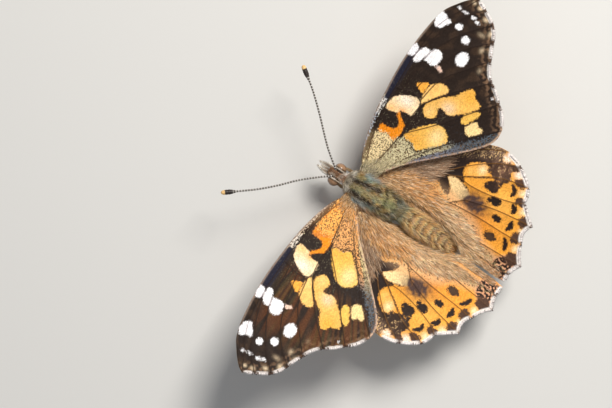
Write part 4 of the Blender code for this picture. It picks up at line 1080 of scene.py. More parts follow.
def build_wing(kind, side_name, material):
    wing = Wing(kind, SIDES[side_name])
    wing.plane, triangles = wing.net()
    name = f"{kind}_{side_name}"
    piece = new_piece(name + "_scales", *two_faces(wing, triangles), [material])
    paint_wing(piece, wing)
    low, high = wing.plane.min(0), wing.plane.max(0)
    unwrap = (wing.plane - low) / (high - low).max() * 0.48
    store_unwrap(piece, np.concatenate([unwrap + 0.01, unwrap + 0.51]))
    keep(piece, "wing_scales", name)
    return wing


scales = wing_finish()
wings = {}
for kind in ("forewing", "hindwing"):
    for side_name in SIDES:
        wings[kind, side_name] = build_wing(kind, side_name, scales)


# Tufts

def unit(vectors):
    return vectors / np.maximum(np.linalg.norm(vectors, axis=-1, keepdims=True), 1e-9)


def tuft_piece(name, spines, ups, widths, root_colours, tip_colours, places, material, profile=None):
    """Thin closed tufts with three sides. Each spine runs from its root to its pointed tip."""
    count, steps, _ = spines.shape
    rings = steps - 1
    if profile is None:
        profile = np.linspace(1.0, 0.55, rings)
    tangents = unit(np.gradient(spines, axis=1))[:, :rings]
    across = unit(np.cross(tangents, ups[:, None, :]))
    over = unit(np.cross(across, tangents))
    half = (widths[:, None] * np.asarray(profile) / 2)[..., None]
    middle = spines[:, :rings]
    corners = np.stack([middle - across * half, middle + across * half, middle + over * half], axis=2)
    points = np.concatenate([corners.reshape(count, rings * 3, 3), spines[:, -1:]], axis=1)
    size = rings * 3 + 1
    quads = []
    for r in range(rings - 1):
        for k in range(3):
            j = (k + 1) % 3
            quads.append((r * 3 + k, r * 3 + j, r * 3 + 3 + j, r * 3 + 3 + k))
    last = (rings - 1) * 3
    tips = [(last + k, last + (k + 1) % 3, size - 1) for k in range(3)] + [(2, 1, 0)]
    start = (np.arange(count) * size)[:, None, None]
    faces = [(np.array(tips)[None] + start).reshape(-1, 3)]
    if quads:
        faces.insert(0, (np.array(quads)[None] + start).reshape(-1, 4))
    piece = new_piece(name, points.reshape(-1, 3), faces, [material])
    share = np.append(np.repeat(np.arange(rings), 3), rings) / rings
    along = share[None, :, None]
    colours = root_colours[:, None] * (1 - along) + tip_colours[:, None] * along
    store_colour(piece, "hair", np.clip(colours.reshape(-1, 3), 0, 1))
    # Each strand a random tone, a little darker toward its root as painted shade.
    tone = rng.random(count)[:, None] + 0.25 * (share - 0.5)[None]
    store(piece, "tone", tone.ravel())
    patch = np.stack([share * 0.003, np.append(np.tile([0.0, 0.0015, 0.003], rings), 0.0015)], -1)
    store_unwrap(piece, (places[:, None] * 0.99 + patch[None]).reshape(-1, 2))
    return piece


def jitter(count, spread):
    return rng.normal(0.0, spread, count)


def uneven(count, spread, low, high):
    """Random sizes about one, kept between two limits."""
    return np.clip(1 + jitter(count, spread), low, high)


def varied(colours, pale=0.6):
    """Each tuft a little lighter or darker than the next, some of them pale and some dark brown."""
    count = len(colours)
    colours = colours * (0.5 + 0.9 * rng.random((count, 1)))
    draw = rng.random(count)
    return layered(
        colours,
        ((248, 228, 200), pale * (draw < 0.17)),
        ((58, 40, 26), 0.65 * (draw > 0.85)))


# The body's skin: head, neck, chest and abdomen in one

# Distance to the rear, side and height of the middle, half width, reach above and reach below.
FRONT_SECTIONS = [(-4.08, 0.25, -0.62, 0.02, 0.02, 0.02), (-4.02, 0.25, -0.62, 0.2, 0.24, 0.26),
                  (-3.85, 0.25, -0.58, 0.42, 0.5, 0.55), (-3.4, 0.25, -0.48, 0.62, 0.76, 0.82),
                  (-2.8, 0.25, -0.42, 0.72, 0.84, 0.88), (-2.2, 0.22, -0.42, 0.72, 0.76, 0.76),
                  (-1.75, 0.15, -0.45, 0.6, 0.56, 0.54), (-1.45, 0.08, -0.45, 0.78, 0.72, 0.66),
                  (-1.0, 0.02, -0.35, 1.34, 1.34, 1.1), (-0.2, 0.0, -0.2, 2.02, 1.92, 1.68),
                  (1.2, 0.0, -0.1, 2.46, 2.32, 2.12), (2.8, 0.0, -0.05, 2.56, 2.42, 2.22),
                  (4.6, 0.0, -0.05, 2.36, 2.18, 2.08), (6.0, 0.0, -0.05, 1.92, 1.68, 1.62),
                  (7.1, 0.0, -0.05, 1.38, 1.22, 1.2), (7.8, 0.02, -0.05, 1.12, 1.05, 1.05)]
# Turn from straight up to the flap over each forewing's root.
TEGULA_ANGLE = radians(42)
# How much thinner the abdomen's skin is than the solid, to leave room for its coat.
ABDOMEN_COAT = 0.26
# Points along one hair, from root to tip.
BODY_HAIR_STEPS = 4
WING_HAIR_STEPS = 5
# Hair is this much lighter at its tip. Each tuft's root is drawn darker than its colour, as painted shade
# deep in the coat.
TIP_LIGHT = 1.3
SEGMENT_LENGTH = ABDOMEN_LENGTH / 8
BODY_START = -4.08
BODY_END = 17.46


def body_table():
    rows = list(FRONT_SECTIONS)
    for rear in np.concatenate([np.arange(8.6, 16.7, 0.8), [16.9, 17.2, 17.38, BODY_END]]):
        side, middle = abdomen_middle(rear)
        half = max(0.02, float(abdomen_half_width(rear)) - ABDOMEN_COAT * smooth_values(
            [(16.4, 1.0), (BODY_END, 0.6)], rear))
        if rear > 17.4:
            half = 0.02
        rows.append((rear, side, middle, half, half * 1.02, half * 1.02))
    return rows


BODY = body_table()


def body_column(k, rear):
    return smooth_values([(row[0], row[k]) for row in BODY], rear)


def bell(value, half):
    """One where the value is none, falling to none within about twice the half width."""
    return np.exp(-((value / half) ** 2))


def body_relief(rear, angle):
    """Flaps over the forewing roots, the shield at the rear of the chest, and the abdomen's rings."""
    relief = np.zeros_like(rear)
    for side in (LEFT, RIGHT):
        turn = np.arctan2(np.sin(angle - side * TEGULA_ANGLE), np.cos(angle - side * TEGULA_ANGLE))
        relief += 0.28 * bell(rear - 1.0, 1.45) * bell(turn, radians(17))
        relief -= 0.1 * bell(turn - side * radians(26), radians(7)) * bell(rear - 1.4, 1.6)
    across = np.sin(angle) * 2.4
    behind = rear - (5.7 - 0.42 * across**2)
    on_top = fade(0.1, 0.5, np.cos(angle))
    # The groove before the shield, the shield itself and the hollow behind it.
    relief -= 0.13 * on_top * bell(behind + 0.75, 0.17)
    relief += 0.1 * on_top * bell(behind - 0.1, 0.5) * bell(across, 1.3)
    relief -= 0.12 * on_top * bell(behind - 1.0, 0.3)
    # The groove down the middle of the chest.
    relief -= 0.07 * on_top * bell(across, 0.22) * fade(-0.6, 0.4, rear) * fade(4.4, 3.4, rear)
    along = (rear - ABDOMEN_START) / SEGMENT_LENGTH
    within = along - np.floor(along)
    step = within - fade(0.86, 1.0, within)
    return relief + 0.075 * step * fade(8.0, 8.8, rear) * fade(17.2, 16.4, rear)


def skin_at(rear, angle):
    """Places on the skin, by distance to the rear and by the turn from straight up."""
    rear, angle = np.broadcast_arrays(np.asarray(rear, float), np.asarray(angle, float))
    grow = body_relief(rear, angle)
    half = body_column(3, rear) + grow
    up = np.cos(angle)
    tall = np.where(up > 0, body_column(4, rear), body_column(5, rear)) + grow
    across = body_column(1, rear) + half * np.sin(angle)
    return np.stack([across, rear, body_column(2, rear) + tall * up], -1)


def skin_frame(rear, angle):
    """Places on the skin, with the directions to the rear, round the body and outward."""
    place = skin_at(rear, angle)
    back = unit(skin_at(rear + 0.05, angle) - skin_at(rear - 0.05, angle))
    around = unit(skin_at(rear, angle + 0.03) - skin_at(rear, angle - 0.03))
    out = unit(np.cross(back, around))
    centre = np.stack([body_column(1, rear), rear, body_column(2, rear)], -1)
    out *= np.sign(np.sum(out * (place - centre), axis=-1, keepdims=True) + 1e-9)
    return place, back, around, out


def stripe(v, u, route, half):
    """How much each place lies within a soft stripe along a route."""
    distance, _ = path_distance(np.stack([u, v], -1), np.array(route, float))
    return bell(distance, half)


def chest_colours(points, u, v):
    """Olive and tan with dark stripes, pink flanks and a pale collar, with teal patches and blue-grey on the
    upper flanks as painted sheen, and the groove and hollow round the shield darkened as painted shade.
    """
    dark = (38, 22, 10)
    groove = [(4.1, 1.6), (4.75, 0.8), (4.95, 0.0), (4.75, -0.8), (4.0, -1.8)]
    hollow = [(4.6, 1.9), (6.0, 1.1), (6.5, 0.0), (6.0, -1.1), (4.6, -2.0)]
    flank = fade(1.75, 2.2, np.abs(v)) * fade(-0.8, 0.2, u) * fade(7.0, 5.5, u)
    # The upper flanks, where blue-grey sheen is painted.
    grey = bell(np.abs(v) - 1.85, 0.24) * fade(-0.8, 0.2, u) * fade(3.4, 2.2, u)
    colours = layered(
        plain(len(u), 186, 166, 108),
        # Teal patches in the olive hair: painted sheen.
        ((142, 176, 168), 0.7 * fade(0.5, 0.85, mottle(points, 1.5, 41))),
        ((192, 144, 74), 0.75 * fade(0.5, 0.85, mottle(points, 1.2, 42))),
        ((158, 156, 118), 0.7 * bell(v + 0.27, 0.26)),
        (dark, stripe(v, u, [(-0.5, 0.3), (1.2, 0.6), (3.3, 0.9)], 0.46)),
        (dark, stripe(v, u, [(-0.3, -1.1), (1.4, -1.25), (3.3, -1.3)], 0.46)),
        ((158, 164, 112), 0.8 * stripe(v, u, [(4.9, 0.0), (5.5, 0.0)], 0.75)),
        # Painted shade: dark along the groove before the shield and in the hollow behind it.
        ((34, 30, 24), stripe(v, u, groove, 0.2)),
        ((38, 46, 50), 0.95 * stripe(v, u, hollow, 0.24)),
        ((96, 118, 114), 0.7 * fade(5.9, 6.4, u) * fade(8.4, 7.6, u)),
        ((160, 136, 74), 0.8 * stripe(v, u, [(6.9, -1.0), (7.4, 0.6)], 0.4)),
        ((222, 172, 128), 0.85 * flank),
        ((166, 186, 192), 0.8 * grey),
        ((190, 178, 158), 0.85 * fade(-0.3, -0.8, u)))
    for side in (LEFT, RIGHT):
        colours = layered(
            colours,
            ((60, 44, 32), 0.8 * bell(v - 0.45 * side, 0.22) * bell(u + 1.0, 0.25)),
            ((240, 232, 220), 0.7 * bell(v - 1.1 * side, 0.4) * bell(u + 0.75, 0.3)))
    return colours


def head_painted(colours, points, u, v, up):
    """The head over the other colours: tan with pale flecks, a dark parting and two white tufts."""
    head = fade(-1.3, -1.8, u)
    colours = layered(
        colours,
        ((186, 128, 82), 0.9 * head),
        ((224, 210, 194), head * 0.8 * fade(0.45, 0.85, mottle(points, 0.7, 43))),
        ((104, 70, 44), head * 0.7 * bell(v + 0.25, 0.22)))
    for side in (LEFT, RIGHT):
        tuft = bell(v + 0.25 - 0.62 * side, 0.2) * bell(u + 1.9, 0.4)
        colours = toward(colours, linear(246, 240, 234), 0.9 * tuft)
    return toward(colours, linear(214, 190, 156), head * fade(-0.1, -0.6, up))


def abdomen_colours(points, u, up):
    """Golden rings, pale at their rear edges and dark at the front, and lighter down the sides."""
    along = (u - ABDOMEN_START) / SEGMENT_LENGTH
    within = along - np.floor(along)
    return layered(
        plain(len(u), 226, 172, 104),
        ((255, 222, 160), fade(0.5, 0.95, within)),
        ((66, 46, 28), 0.9 * fade(0.36, 0.05, within)),
        ((170, 160, 146), 0.4 * fade(0.6, 0.85, mottle(points, 0.9, 44))),
        ((226, 158, 88), 0.7 * fade(15.8, 17.0, u)),
        ((236, 184, 126), 0.8 * fade(0.8, 0.4, up)))


def body_colours(points, angle):
    """Colours of skin and coat alike: u runs to the rear and v to the butterfly's right."""
    u, v = points[:, 1], -points[:, 0]
    up = np.cos(angle)
    colours = head_painted(chest_colours(points, u, v), points, u, v, up)
    colours = toward(colours, abdomen_colours(points, u, up), fade(8.0, 8.8, u))
    return toward(colours, linear(204, 190, 164), 0.85 * fade(-0.15, -0.6, up))


def skin_finish():
    finish = Finish("skin_finish", roughness=0.75, specular=0.2, sheen=0.1)
    place = finish.attribute("place", "Vector")
    gap, tone = finish.cells(finish.stretch(place, 7.0, 4.0, 7.0), 1.0)
    shade = finish.plus(finish.times(finish.split(tone)[0], 0.5), 0.6)
    finish.shaded(finish.attribute("hair", "Color"), shade)
    finish.bump(finish.times(gap, -1.0), 0.00004, 0.7)
    return finish.material


def build_skin():
    rows = np.concatenate([BODY_START + np.array([0.0, 0.02, 0.06, 0.12, 0.2]),
                           np.arange(-3.8, 17.2, 0.1), [17.25, 17.33, 17.4, 17.44, BODY_END]])
    around = 104
    angles = np.arange(around) * tau / around
    rear, angle = np.meshgrid(rows, angles, indexing="ij")
    rear, angle = rear.ravel(), angle.ravel()
    points = skin_at(rear, angle)
    faces = [group[:, ::-1] for group in rolled_faces(len(rows), around)]
    piece = new_piece("body_skin", points, faces, [skin_finish()])
    # The skin is a fifth darker than the coat's colours: painted shade under the hair.
    store_colour(piece, "hair", body_colours(points, angle) * 0.8)
    store(piece, "place", points)
    store_unwrap(piece, body_unwrap(rear, angle))
    return keep(piece, "thorax_hair", "head", "thorax", "abdomen")


def body_unwrap(rear, angle):
    turn = np.mod(angle + pi, tau) / tau
    return np.stack([turn * 0.98 + 0.005, (rear - BODY_START) / (BODY_END - BODY_START) * 0.98 + 0.005], -1)


def body_hair(name, slot_name, count, rears, length, width, lift, flow, crown=None, spread=0.0):
    """Tufts all over one stretch of the body. flow gives their way back and round the body."""
    low, high = rears
    rear = rng.uniform(low, high, count * 3)
    angle = rng.uniform(-pi, pi, count * 3)
    girth = body_column(3, rear)
    kept = rng.random(count * 3) * 2.6 < girth + 0.25
    if crown is not None:
        kept &= crown(rear, angle)
    rear, angle = rear[kept][:count], angle[kept][:count]
    count = len(rear)
    place, back, around, out = skin_frame(rear, angle)
    go_back, go_round = flow(rear, angle)
    go_round = go_round + jitter(count, 0.28)
    outward = np.sign(np.sin(angle))[:, None] * (1.0, 0.0, 0.0)
    way = unit(back * go_back[:, None] + around * go_round[:, None] + outward * spread)
    size = length * uneven(count, 0.25, 0.5, 1.6)
    rise = lift * uneven(count, 0.5, 0.1, 2.4)
    t = np.linspace(0.0, 1.0, BODY_HAIR_STEPS)[None, :, None]
    curve = (rise[:, None, None] * t - 0.45 * rise[:, None, None] * t**2 - 0.12 * size[:, None, None] * t**2)
    spines = place[:, None] + size[:, None, None] * t * way[:, None] + out[:, None] * (curve - 0.03)
    tint = varied(body_colours(place, angle), pale=0.3)
    # The roots are darker than the tint: painted shade deep in the coat.
    piece = tuft_piece(name, spines, out, width * uneven(count, 0.2, 0.6, 1.5), tint * 0.85,
                       np.clip(tint * TIP_LIGHT, 0, 1), body_unwrap(rear, angle), hair_finish)
    keep(piece, slot_name)


def flow_back(rear, angle):
    """Hair lies to the rear, and a little down the sides."""
    return np.ones_like(rear), 0.25 * np.sin(angle) * np.sign(np.cos(angle) + 0.2)


def on_top(rear, angle):
    return np.abs(angle) < radians(80)


def on_side(rear, angle):
    return (np.abs(angle) > radians(38)) & (np.abs(angle) < radians(108))


def flow_out(rear, angle):
    """Long hair at the abdomen's sides lies to the rear and reaches out over the hindwings."""
    return np.ones_like(rear), 0.12 * np.sin(angle)


def flow_head(rear, angle):
    """Hair on the head stands forward over the face, and turns back behind the eyes."""
    forward = fade(-2.0, -2.9, rear)
    return 1.0 - 1.9 * forward, 0.5 * np.sin(angle) * forward


hair_finish = tuft_finish()
build_skin()
body_hair("thorax_coat", "thorax_hair", 9500, (-1.35, 7.6), 0.62, 0.07, 0.3, flow_back)
body_hair("thorax_rear_hair", "thorax_hair", 2200, (5.2, 8.2), 1.3, 0.07, 0.4, flow_back, on_top)
body_hair("thorax_side_hair", "thorax_hair", 2400, (-0.7, 6.8), 0.95, 0.05, 0.3, flow_back, on_side,
          spread=0.45)
body_hair("abdomen_coat", "abdomen_hair", 8000, (7.3, 17.2), 0.7, 0.07, 0.2, flow_back)
body_hair("abdomen_side_hair", "abdomen_hair", 5200, (7.4, 17.0), 1.35, 0.06, 0.36, flow_out, on_side,
          spread=0.3)
body_hair("head_coat", "head_hair", 4200, (-4.0, -1.3), 0.46, 0.045, 0.26, flow_head)


# Hair on the wings, and their fringes

def wing_places(wing, plane):
    low, high = wing.plane.min(0), wing.plane.max(0)
    return np.clip((plane - low) / (high - low).max() * 0.98 + 0.01, 0.0, 0.99)


def wing_height(wing, plane):
    """Height of the upper face beside the nearest place of the wing's own net."""
    nearest, _ = nearest_to(wing.tree, plane)
    return wing.top_height[nearest]


def wing_hair(name, wing, zone, count, length, width, lift, way, colours, soften=0.9):
    """Hair that lies along a wing's upper face within a zone of its plane."""
    loop = curve_through(zone, 0.4, closed=True)
    low, high = loop.min(0), loop.max(0)
    roots = rng.uniform(low, high, (count * 6, 2))
    depth = -signed_distance(roots, loop)
    kept = (depth > 0.0) & (signed_distance(roots, wing.loop) < 0.0)
    kept &= rng.random(len(roots)) < fade(0.0, soften, depth) + 0.1
    roots = roots[kept][:count]
    count = len(roots)
    reach = length(roots) if callable(length) else length
    lengths = reach * uneven(count, 0.22, 0.5, 1.6)
    heading = unit(way(roots))
    turn = jitter(count, 0.13)
    turned = np.stack([heading[:, 0] * np.cos(turn) - heading[:, 1] * np.sin(turn),
                       heading[:, 0] * np.sin(turn) + heading[:, 1] * np.cos(turn)], -1)
    bend = jitter(count, 0.1)[:, None] * np.stack([-turned[:, 1], turned[:, 0]], -1)
    t = np.linspace(0.0, 1.0, WING_HAIR_STEPS)[None, :, None]
    path = roots[:, None] + lengths[:, None, None] * (turned[:, None] * t + bend[:, None] * t**2)
    flat = path.reshape(-1, 2)
    heights = wing_height(wing, flat)
    rise = lift * uneven(count, 0.5, 0.15, 2.2)[:, None, None] * (1.6 * t - 0.9 * t**2)
    heights = heights + rise.reshape(-1) - 0.02
    spines = wing.place(flat, heights).reshape(count, WING_HAIR_STEPS, 3)
    ups = np.tile(wing.direction(np.array([0.0, 0.0, 1.0])), (count, 1))
    tint = varied(colours(roots))
    # The roots are darker than the tint: painted shade deep in the coat.
    piece = tuft_piece(name, spines, ups, width * uneven(count, 0.2, 0.6, 1.5), tint * 0.9,
                       np.clip(tint * TIP_LIGHT, 0, 1), wing_places(wing, roots), hair_finish)
    keep(piece, "wing_scales")


def fringe(wing, name):
    """A fringe of short scales along the outer margin, white between the vein ends."""
    count = 1700
    line, shares = wing.margin, wing.margin_shares
    at = np.sort(rng.uniform(0, len(line) - 1.001, count))
    whole = at.astype(int)
    part = (at - whole)[:, None]
    foot = line[whole] * (1 - part) + line[whole + 1] * part
    outward = wing.margin_outward[whole]
    reach = wing.margin_inset[whole] + 0.06
    ends = (at > 4) & (at < len(line) - 5)
    foot, outward, reach, whole = foot[ends], outward[ends], reach[ends], whole[ends]
    count = len(foot)
    along = np.stack([-outward[:, 1], outward[:, 0]], -1) * jitter(count, 0.14)[:, None]
    middle = 1 - np.abs(2 * shares[whole] - 1) ** 3
    length = (reach + 0.06) * (0.72 + 0.28 * middle) * uneven(count, 0.16, 0.6, 1.25)
    t = np.linspace(0.0, 1.0, 3)[None, :, None]
    path = (foot - outward * 0.1)[:, None] + length[:, None, None] * (outward + along)[:, None] * t
    height = wing.camber(path.reshape(-1, 2)) + np.tile(jitter(count, 0.03)[:, None], (1, 3)).ravel()
    spines = wing.place(path.reshape(-1, 2), height).reshape(count, 3, 3)
    ups = np.tile(wing.direction(np.array([0.0, 0.0, 1.0])), (count, 1))
    white = (rng.random(count) < 0.06 + 0.9 * fringe_lightness(wing, shares[whole]))[:, None]
    tint = np.where(white, linear(240, 232, 228), linear(92, 68, 54))
    tint = tint * (0.7 + 0.4 * rng.random((count, 1)))
    piece = tuft_piece(name, spines, ups, np.full(count, 0.1), tint, np.clip(tint * 1.1, 0, 1),
                       wing_places(wing, foot), hair_finish, profile=[1.0, 0.85])
    keep(piece, "wing_scales")


def hindwing_hair_colours(plane):
    """Tan, rosier in the middle and greyer at the root and beside the body."""
    a, b = plane[:, 0], plane[:, 1]
    return layered(
        plain(len(a), 226, 166, 104),
        ((244, 196, 150), 0.9 * fade(6.0, 8.5, b)),
        ((190, 152, 104), 0.7 * fade(2.0, -0.5, b)),
        ((214, 176, 128), 0.6 * fade(1.0, 0.0, a)),
        ((150, 112, 74), 0.6 * fade(0.5, 0.9, mottle(plane, 1.1, 51))),
        ((200, 152, 108), 0.7 * fade(15.5, 18.5, b)))


# Where the hindwing's long hair has its roots, and the shorter hair in front of it.
HAIR_ROOTS = [(-1.2, 0), (1, -1.5), (3.4, 0.2), (3.4, 3), (2.8, 6), (2.1, 10), (1.5, 13), (0.4, 15),
              (-0.4, 17), (-1, 19)]
FRONT_HAIR_ROOTS = [(2.0, -1.0), (4.4, -0.4), (7.4, 2.0), (9.2, 4.2), (8.0, 5.2), (5.4, 5.0), (3.2, 3.6)]


def hindwing_hair_length(plane):
    """Long beside the abdomen, and shorter at the root and toward the rear margin."""
    return smooth_values([(-1.0, 0.8), (4.0, 1.5), (9.0, 1.9), (14.0, 1.3), (17.0, 0.8), (20.0, 0.5)],
                         plane[:, 1])


def inner_hair_length(plane):
    return smooth_values([(2.0, 1.2), (8.0, 1.6), (14.0, 1.3), (16.5, 0.7), (19.0, 0.45), (21.0, 0.3)],
                         plane[:, 1])


def beside_abdomen(plane):
    """To the rear, and inward as far as the abdomen reaches."""
    return np.stack([-0.3 * fade(16.0, 13.5, plane[:, 1]), np.ones(len(plane))], -1)


def fanned(plane):
    """Away from the hindwing's root, and straight back beside the body."""
    return np.stack([np.maximum(plane[:, 0] + 0.4, 0.1), plane[:, 1] + 3.5], -1)


# The right forewing's root hair is paler and greyer than the left's: painted sheen on it.
def forewing_hair_colours(side):
    def colours(plane):
        tint = np.tile(linear(206, 190, 148) if side == RIGHT else linear(230, 166, 96), (len(plane), 1))
        return toward(tint, linear(128, 122, 98), 0.6 * fade(1.2, -0.4, plane[:, 0]))
    return colours


FOREWING_HAIR_ZONE = [(-1.2, -1.2), (0.6, -1.5), (1.6, -0.6), (2.2, 0.8), (3.6, 2.8), (4.6, 4.4), (3.4, 3.6),
                      (1.3, 1.9), (-1.2, 1.2)]
for (kind, side_name), wing in wings.items():
    wing.tree = nearest_tree(wing.plane)
    wing.top_height = wing.top(wing.plane)
    fringe(wing, f"{kind}_{side_name}_fringe")
    if kind == "hindwing":
        strip = np.concatenate([wing.inner_line + (0.02, 0.0), wing.inner_line[::-1] + (0.9, 0.0)])
        wing_hair(f"hindwing_{side_name}_front_hair", wing, FRONT_HAIR_ROOTS, 1500, 1.2, 0.05, 0.08, fanned,
                  lambda p: plain(len(p), 168, 134, 104))
        wing_hair(f"hindwing_{side_name}_inner_hair", wing, strip, 3600, inner_hair_length, 0.065, 0.16,
                  beside_abdomen, hindwing_hair_colours, soften=0.05)
        wing_hair(f"hindwing_{side_name}_hair", wing, HAIR_ROOTS, 6500, hindwing_hair_length,
                  0.07, 0.1, fanned, hindwing_hair_colours)
    else:
        wing_hair(f"forewing_{side_name}_hair", wing, FOREWING_HAIR_ZONE, 1000, 0.6, 0.05, 0.08,
                  lambda p: p + (3.0, 0.0), forewing_hair_colours(wing.side))


# The head's own pieces

def tube(route, radii, sides):
    """Points and faces of a closed round tube, with each point's place along it and round it."""
    route = np.asarray(route, float)
    radii = np.broadcast_to(radii, len(route))
    tangents = unit(np.gradient(route, axis=0))
    side = np.cross(tangents[0], (0.31, 0.2, 0.93))
    across = []
    for tangent in tangents:
        side = side - tangent * (side @ tangent)
        side = side / np.linalg.norm(side)
        across.append(side)
    across = np.array(across)
    over = np.cross(tangents, across)
    turn = np.arange(sides) * tau / sides
    circle = across[:, None] * np.cos(turn)[None, :, None] + over[:, None] * np.sin(turn)[None, :, None]
    points = (route[:, None] + circle * radii[:, None, None]).reshape(-1, 3)
    along = np.repeat(travelled_along(route), sides)
    faces = rolled_faces(len(route), sides)
    return points, faces, along, np.tile(turn, len(route)), circle.reshape(-1, 3)


def tube_unwrap(along, turn):
    return np.stack([turn / tau * 0.9 + 0.01, along / max(along.max(), 1e-6) * 0.97 + 0.01], -1)


# The head is this far to the left of the chest's middle, as in the photo.
HEAD_SIDE = 0.25
# An eye's middle, out from the head's, and its reach sideways, forward and up.
EYE_CENTRE = (0.93, -2.8, -0.38)
EYE_RADII = (0.82, 0.88, 1.0)
CLUB_LENGTH = 2.0
ANTENNA_RADIUS = 0.13
CLUB_RADIUS = 0.35
RING_PITCH = 0.41
# The two feelers are held a little differently.
ANTENNA_ROUTES = {
    "right": [(0.23, -3.3, 0.1), (0.96, -4.3, 0.75), (1.95, -5.6, 1.1), (3.15, -6.95, 1.45),
              (5.75, -9.65, 2.15), (7.95, -12.15, 2.75), (9.3, -14.0, 3.15), (10.15, -15.2, 3.4)],
    "left": [(0.68, -3.2, 0.1), (1.17, -3.75, 0.7), (2.05, -4.9, 1.05), (3.95, -7.05, 1.6),
             (6.08, -9.06, 2.1), (8.05, -11.15, 2.57), (9.8, -13.35, 3.0), (11.3, -15.3, 3.4)],
}
PALP_ROUTE = [(0.5, -3.2, -1.2), (0.58, -4.3, -1.15), (0.56, -5.1, -0.85), (0.42, -5.85, -0.35)]
PALP_RADII = [0.33, 0.34, 0.24, 0.08]
COIL_CENTRE = (HEAD_SIDE, -3.35, -2.85)
COIL_START = pi / 2 + 0.4
COIL_TURNS = 2.6
COIL_RADIUS = 0.72
COIL_EYE = 0.2
TONGUE_RING_PITCH = 0.09


def painted_finish(name, roughness, bump=0.0):
    """The colours stored with the shape, with a fine grain."""
    finish = Finish(name, roughness=roughness, specular=0.4)
    place = finish.attribute("place", "Vector")
    grain = finish.noise(place, 9.0, 3.0)
    finish.colour(finish.mix(finish.ramp(grain, 0.35, 0.75, 0.0, 0.35), finish.attribute("hair", "Color"),
                             (0.02, 0.015, 0.01)))
    if bump:
        finish.bump(grain, bump, 0.6)
    return finish.material


def eye_finish():
    finish = Finish("eye_finish", roughness=0.28, specular=0.5, coat=0.3)
    place = finish.attribute("place", "Vector")
    gap, _ = finish.cells(place, 13.0, 0.25)
    finish.colour(finish.mix(finish.ramp(gap, 0.35, 0.75, 0.0, 0.45), finish.attribute("hair", "Color"),
                             (0.012, 0.009, 0.006)))
    finish.bump(finish.times(gap, -1.0), 0.00002, 0.8)
    return finish.material


def painted_piece(name, points, faces, material, colours, unwrap, slot_name, *nodes):
    piece = new_piece(name, points, faces, [material])
    store_colour(piece, "hair", np.clip(colours, 0, 1))
    store(piece, "place", points)
    store_unwrap(piece, unwrap)
    keep(piece, slot_name, *nodes)


def build_eye(side_name, material):
    side = SIDES[side_name]
    rows, around = 40, 64
    polar = (np.arange(1, rows) / rows * pi)[:, None]
    turn = (np.arange(around) * tau / around)[None]
    ring = np.sin(polar)
    ball = np.stack([np.cos(polar) + 0 * turn, ring * np.cos(turn), ring * np.sin(turn)], -1)
    ball = np.concatenate([[(1.0, 0.0, 0.0)], ball.reshape(-1, 3), [(-1.0, 0.0, 0.0)]])
    ball = ball * (side, 1, 1)
    centre = np.array([HEAD_SIDE + side * EYE_CENTRE[0], EYE_CENTRE[1], EYE_CENTRE[2]])
    points = centre + ball * EYE_RADII
    index = 1 + np.arange((rows - 1) * around).reshape(rows - 1, around)
    after = np.roll(index, -1, axis=1)
    quads = np.stack([index[:-1], index[1:], after[1:], after[:-1]], -1).reshape(-1, 4)
    end = len(ball) - 1
    first = np.stack([np.zeros(around, int), index[0], after[0]], -1)
    last = np.stack([np.full(around, end), after[-1], index[-1]], -1)
    faces = [quads, first, last]
    if side == RIGHT:
        faces = [face[:, ::-1] for face in faces]
    up, out = ball[:, 2], ball[:, 0] * side
    # Painted light and shade on the eye: lighter orange-brown on its top and outer side, darker below and on
    # the side toward the head.
    colours = layered(
        plain(len(ball), 98, 74, 52),
        ((176, 134, 98), 0.8 * fade(0.0, 0.75, up) * fade(0.0, 0.5, out + 0.2)),
        ((66, 56, 40), 0.9 * fade(0.1, -0.6, up)),
        ((52, 38, 26), 0.7 * fade(0.35, 0.0, out)))
    turned = np.arctan2(ball[:, 2], ball[:, 1])
    unwrap = np.stack([(turned + pi) / tau * 0.97 + 0.01, (ball[:, 0] + 1) / 2 * 0.97 + 0.01], -1)
    painted_piece(f"eye_{side_name}_facets", points, faces, material, colours, unwrap, "eye",
                  "eye_" + side_name)
    build_eye_rim(side_name, centre)


def build_eye_rim(side_name, centre):
    """Pale hair in a ring round the eye, where it meets the head."""
    turn = np.linspace(0.0, tau, 90)
    inward = np.full(len(turn), -0.16 * SIDES[side_name])
    ring = np.stack([inward, 0.985 * np.cos(turn), 0.985 * np.sin(turn)], -1)
    tube_tufts(f"eye_{side_name}_rim", "head_hair", centre + ring * EYE_RADII, 0.05, 620, 0.26, 0.045, 0.07,
               lambda out, share: plain(len(out), 226, 212, 194))


def build_antenna(side_name, material):
    side = SIDES[side_name]
    route = curve_through(ANTENNA_ROUTES[side_name], 0.05) * (side, 1, 1)
    travelled = travelled_along(route)
    total = travelled[-1]
    club = total - CLUB_LENGTH
    radii = smooth_values([(0.0, 0.2), (0.3, 0.2), (0.6, ANTENNA_RADIUS), (club - 0.5, ANTENNA_RADIUS),
                           (club + 0.8, CLUB_RADIUS), (total - 0.45, CLUB_RADIUS * 0.95),
                           (total - 0.12, 0.24), (total, 0.04)], travelled)
    phase = travelled / RING_PITCH
    within = phase - np.floor(phase)
    radii = radii * (1 + 0.09 * np.sin(within * pi) - 0.04)
    points, faces, along, turn, out = tube(route, radii, 14)
    step = along / RING_PITCH
    within = step - np.floor(step)
    pale = fade(0.0, 0.08, within) * fade(0.42, 0.34, within)
    pale = pale * fade(club + 0.7, club, along)
    below = fade(0.0, -0.6, out[:, 2]) * fade(club, club + 0.5, along)
    colours = layered(
        plain(len(points), 72, 62, 56),
        ((224, 220, 212), 0.85 * pale),
        ((38, 28, 24), fade(club, club + 0.6, along)),
        ((176, 110, 60), 0.7 * below),
        ((240, 196, 130), fade(total - 0.62, total - 0.42, along)))
    painted_piece(f"antenna_{side_name}_rings", points, faces, material, colours, tube_unwrap(along, turn),
                  "antenna", "antenna_" + side_name)


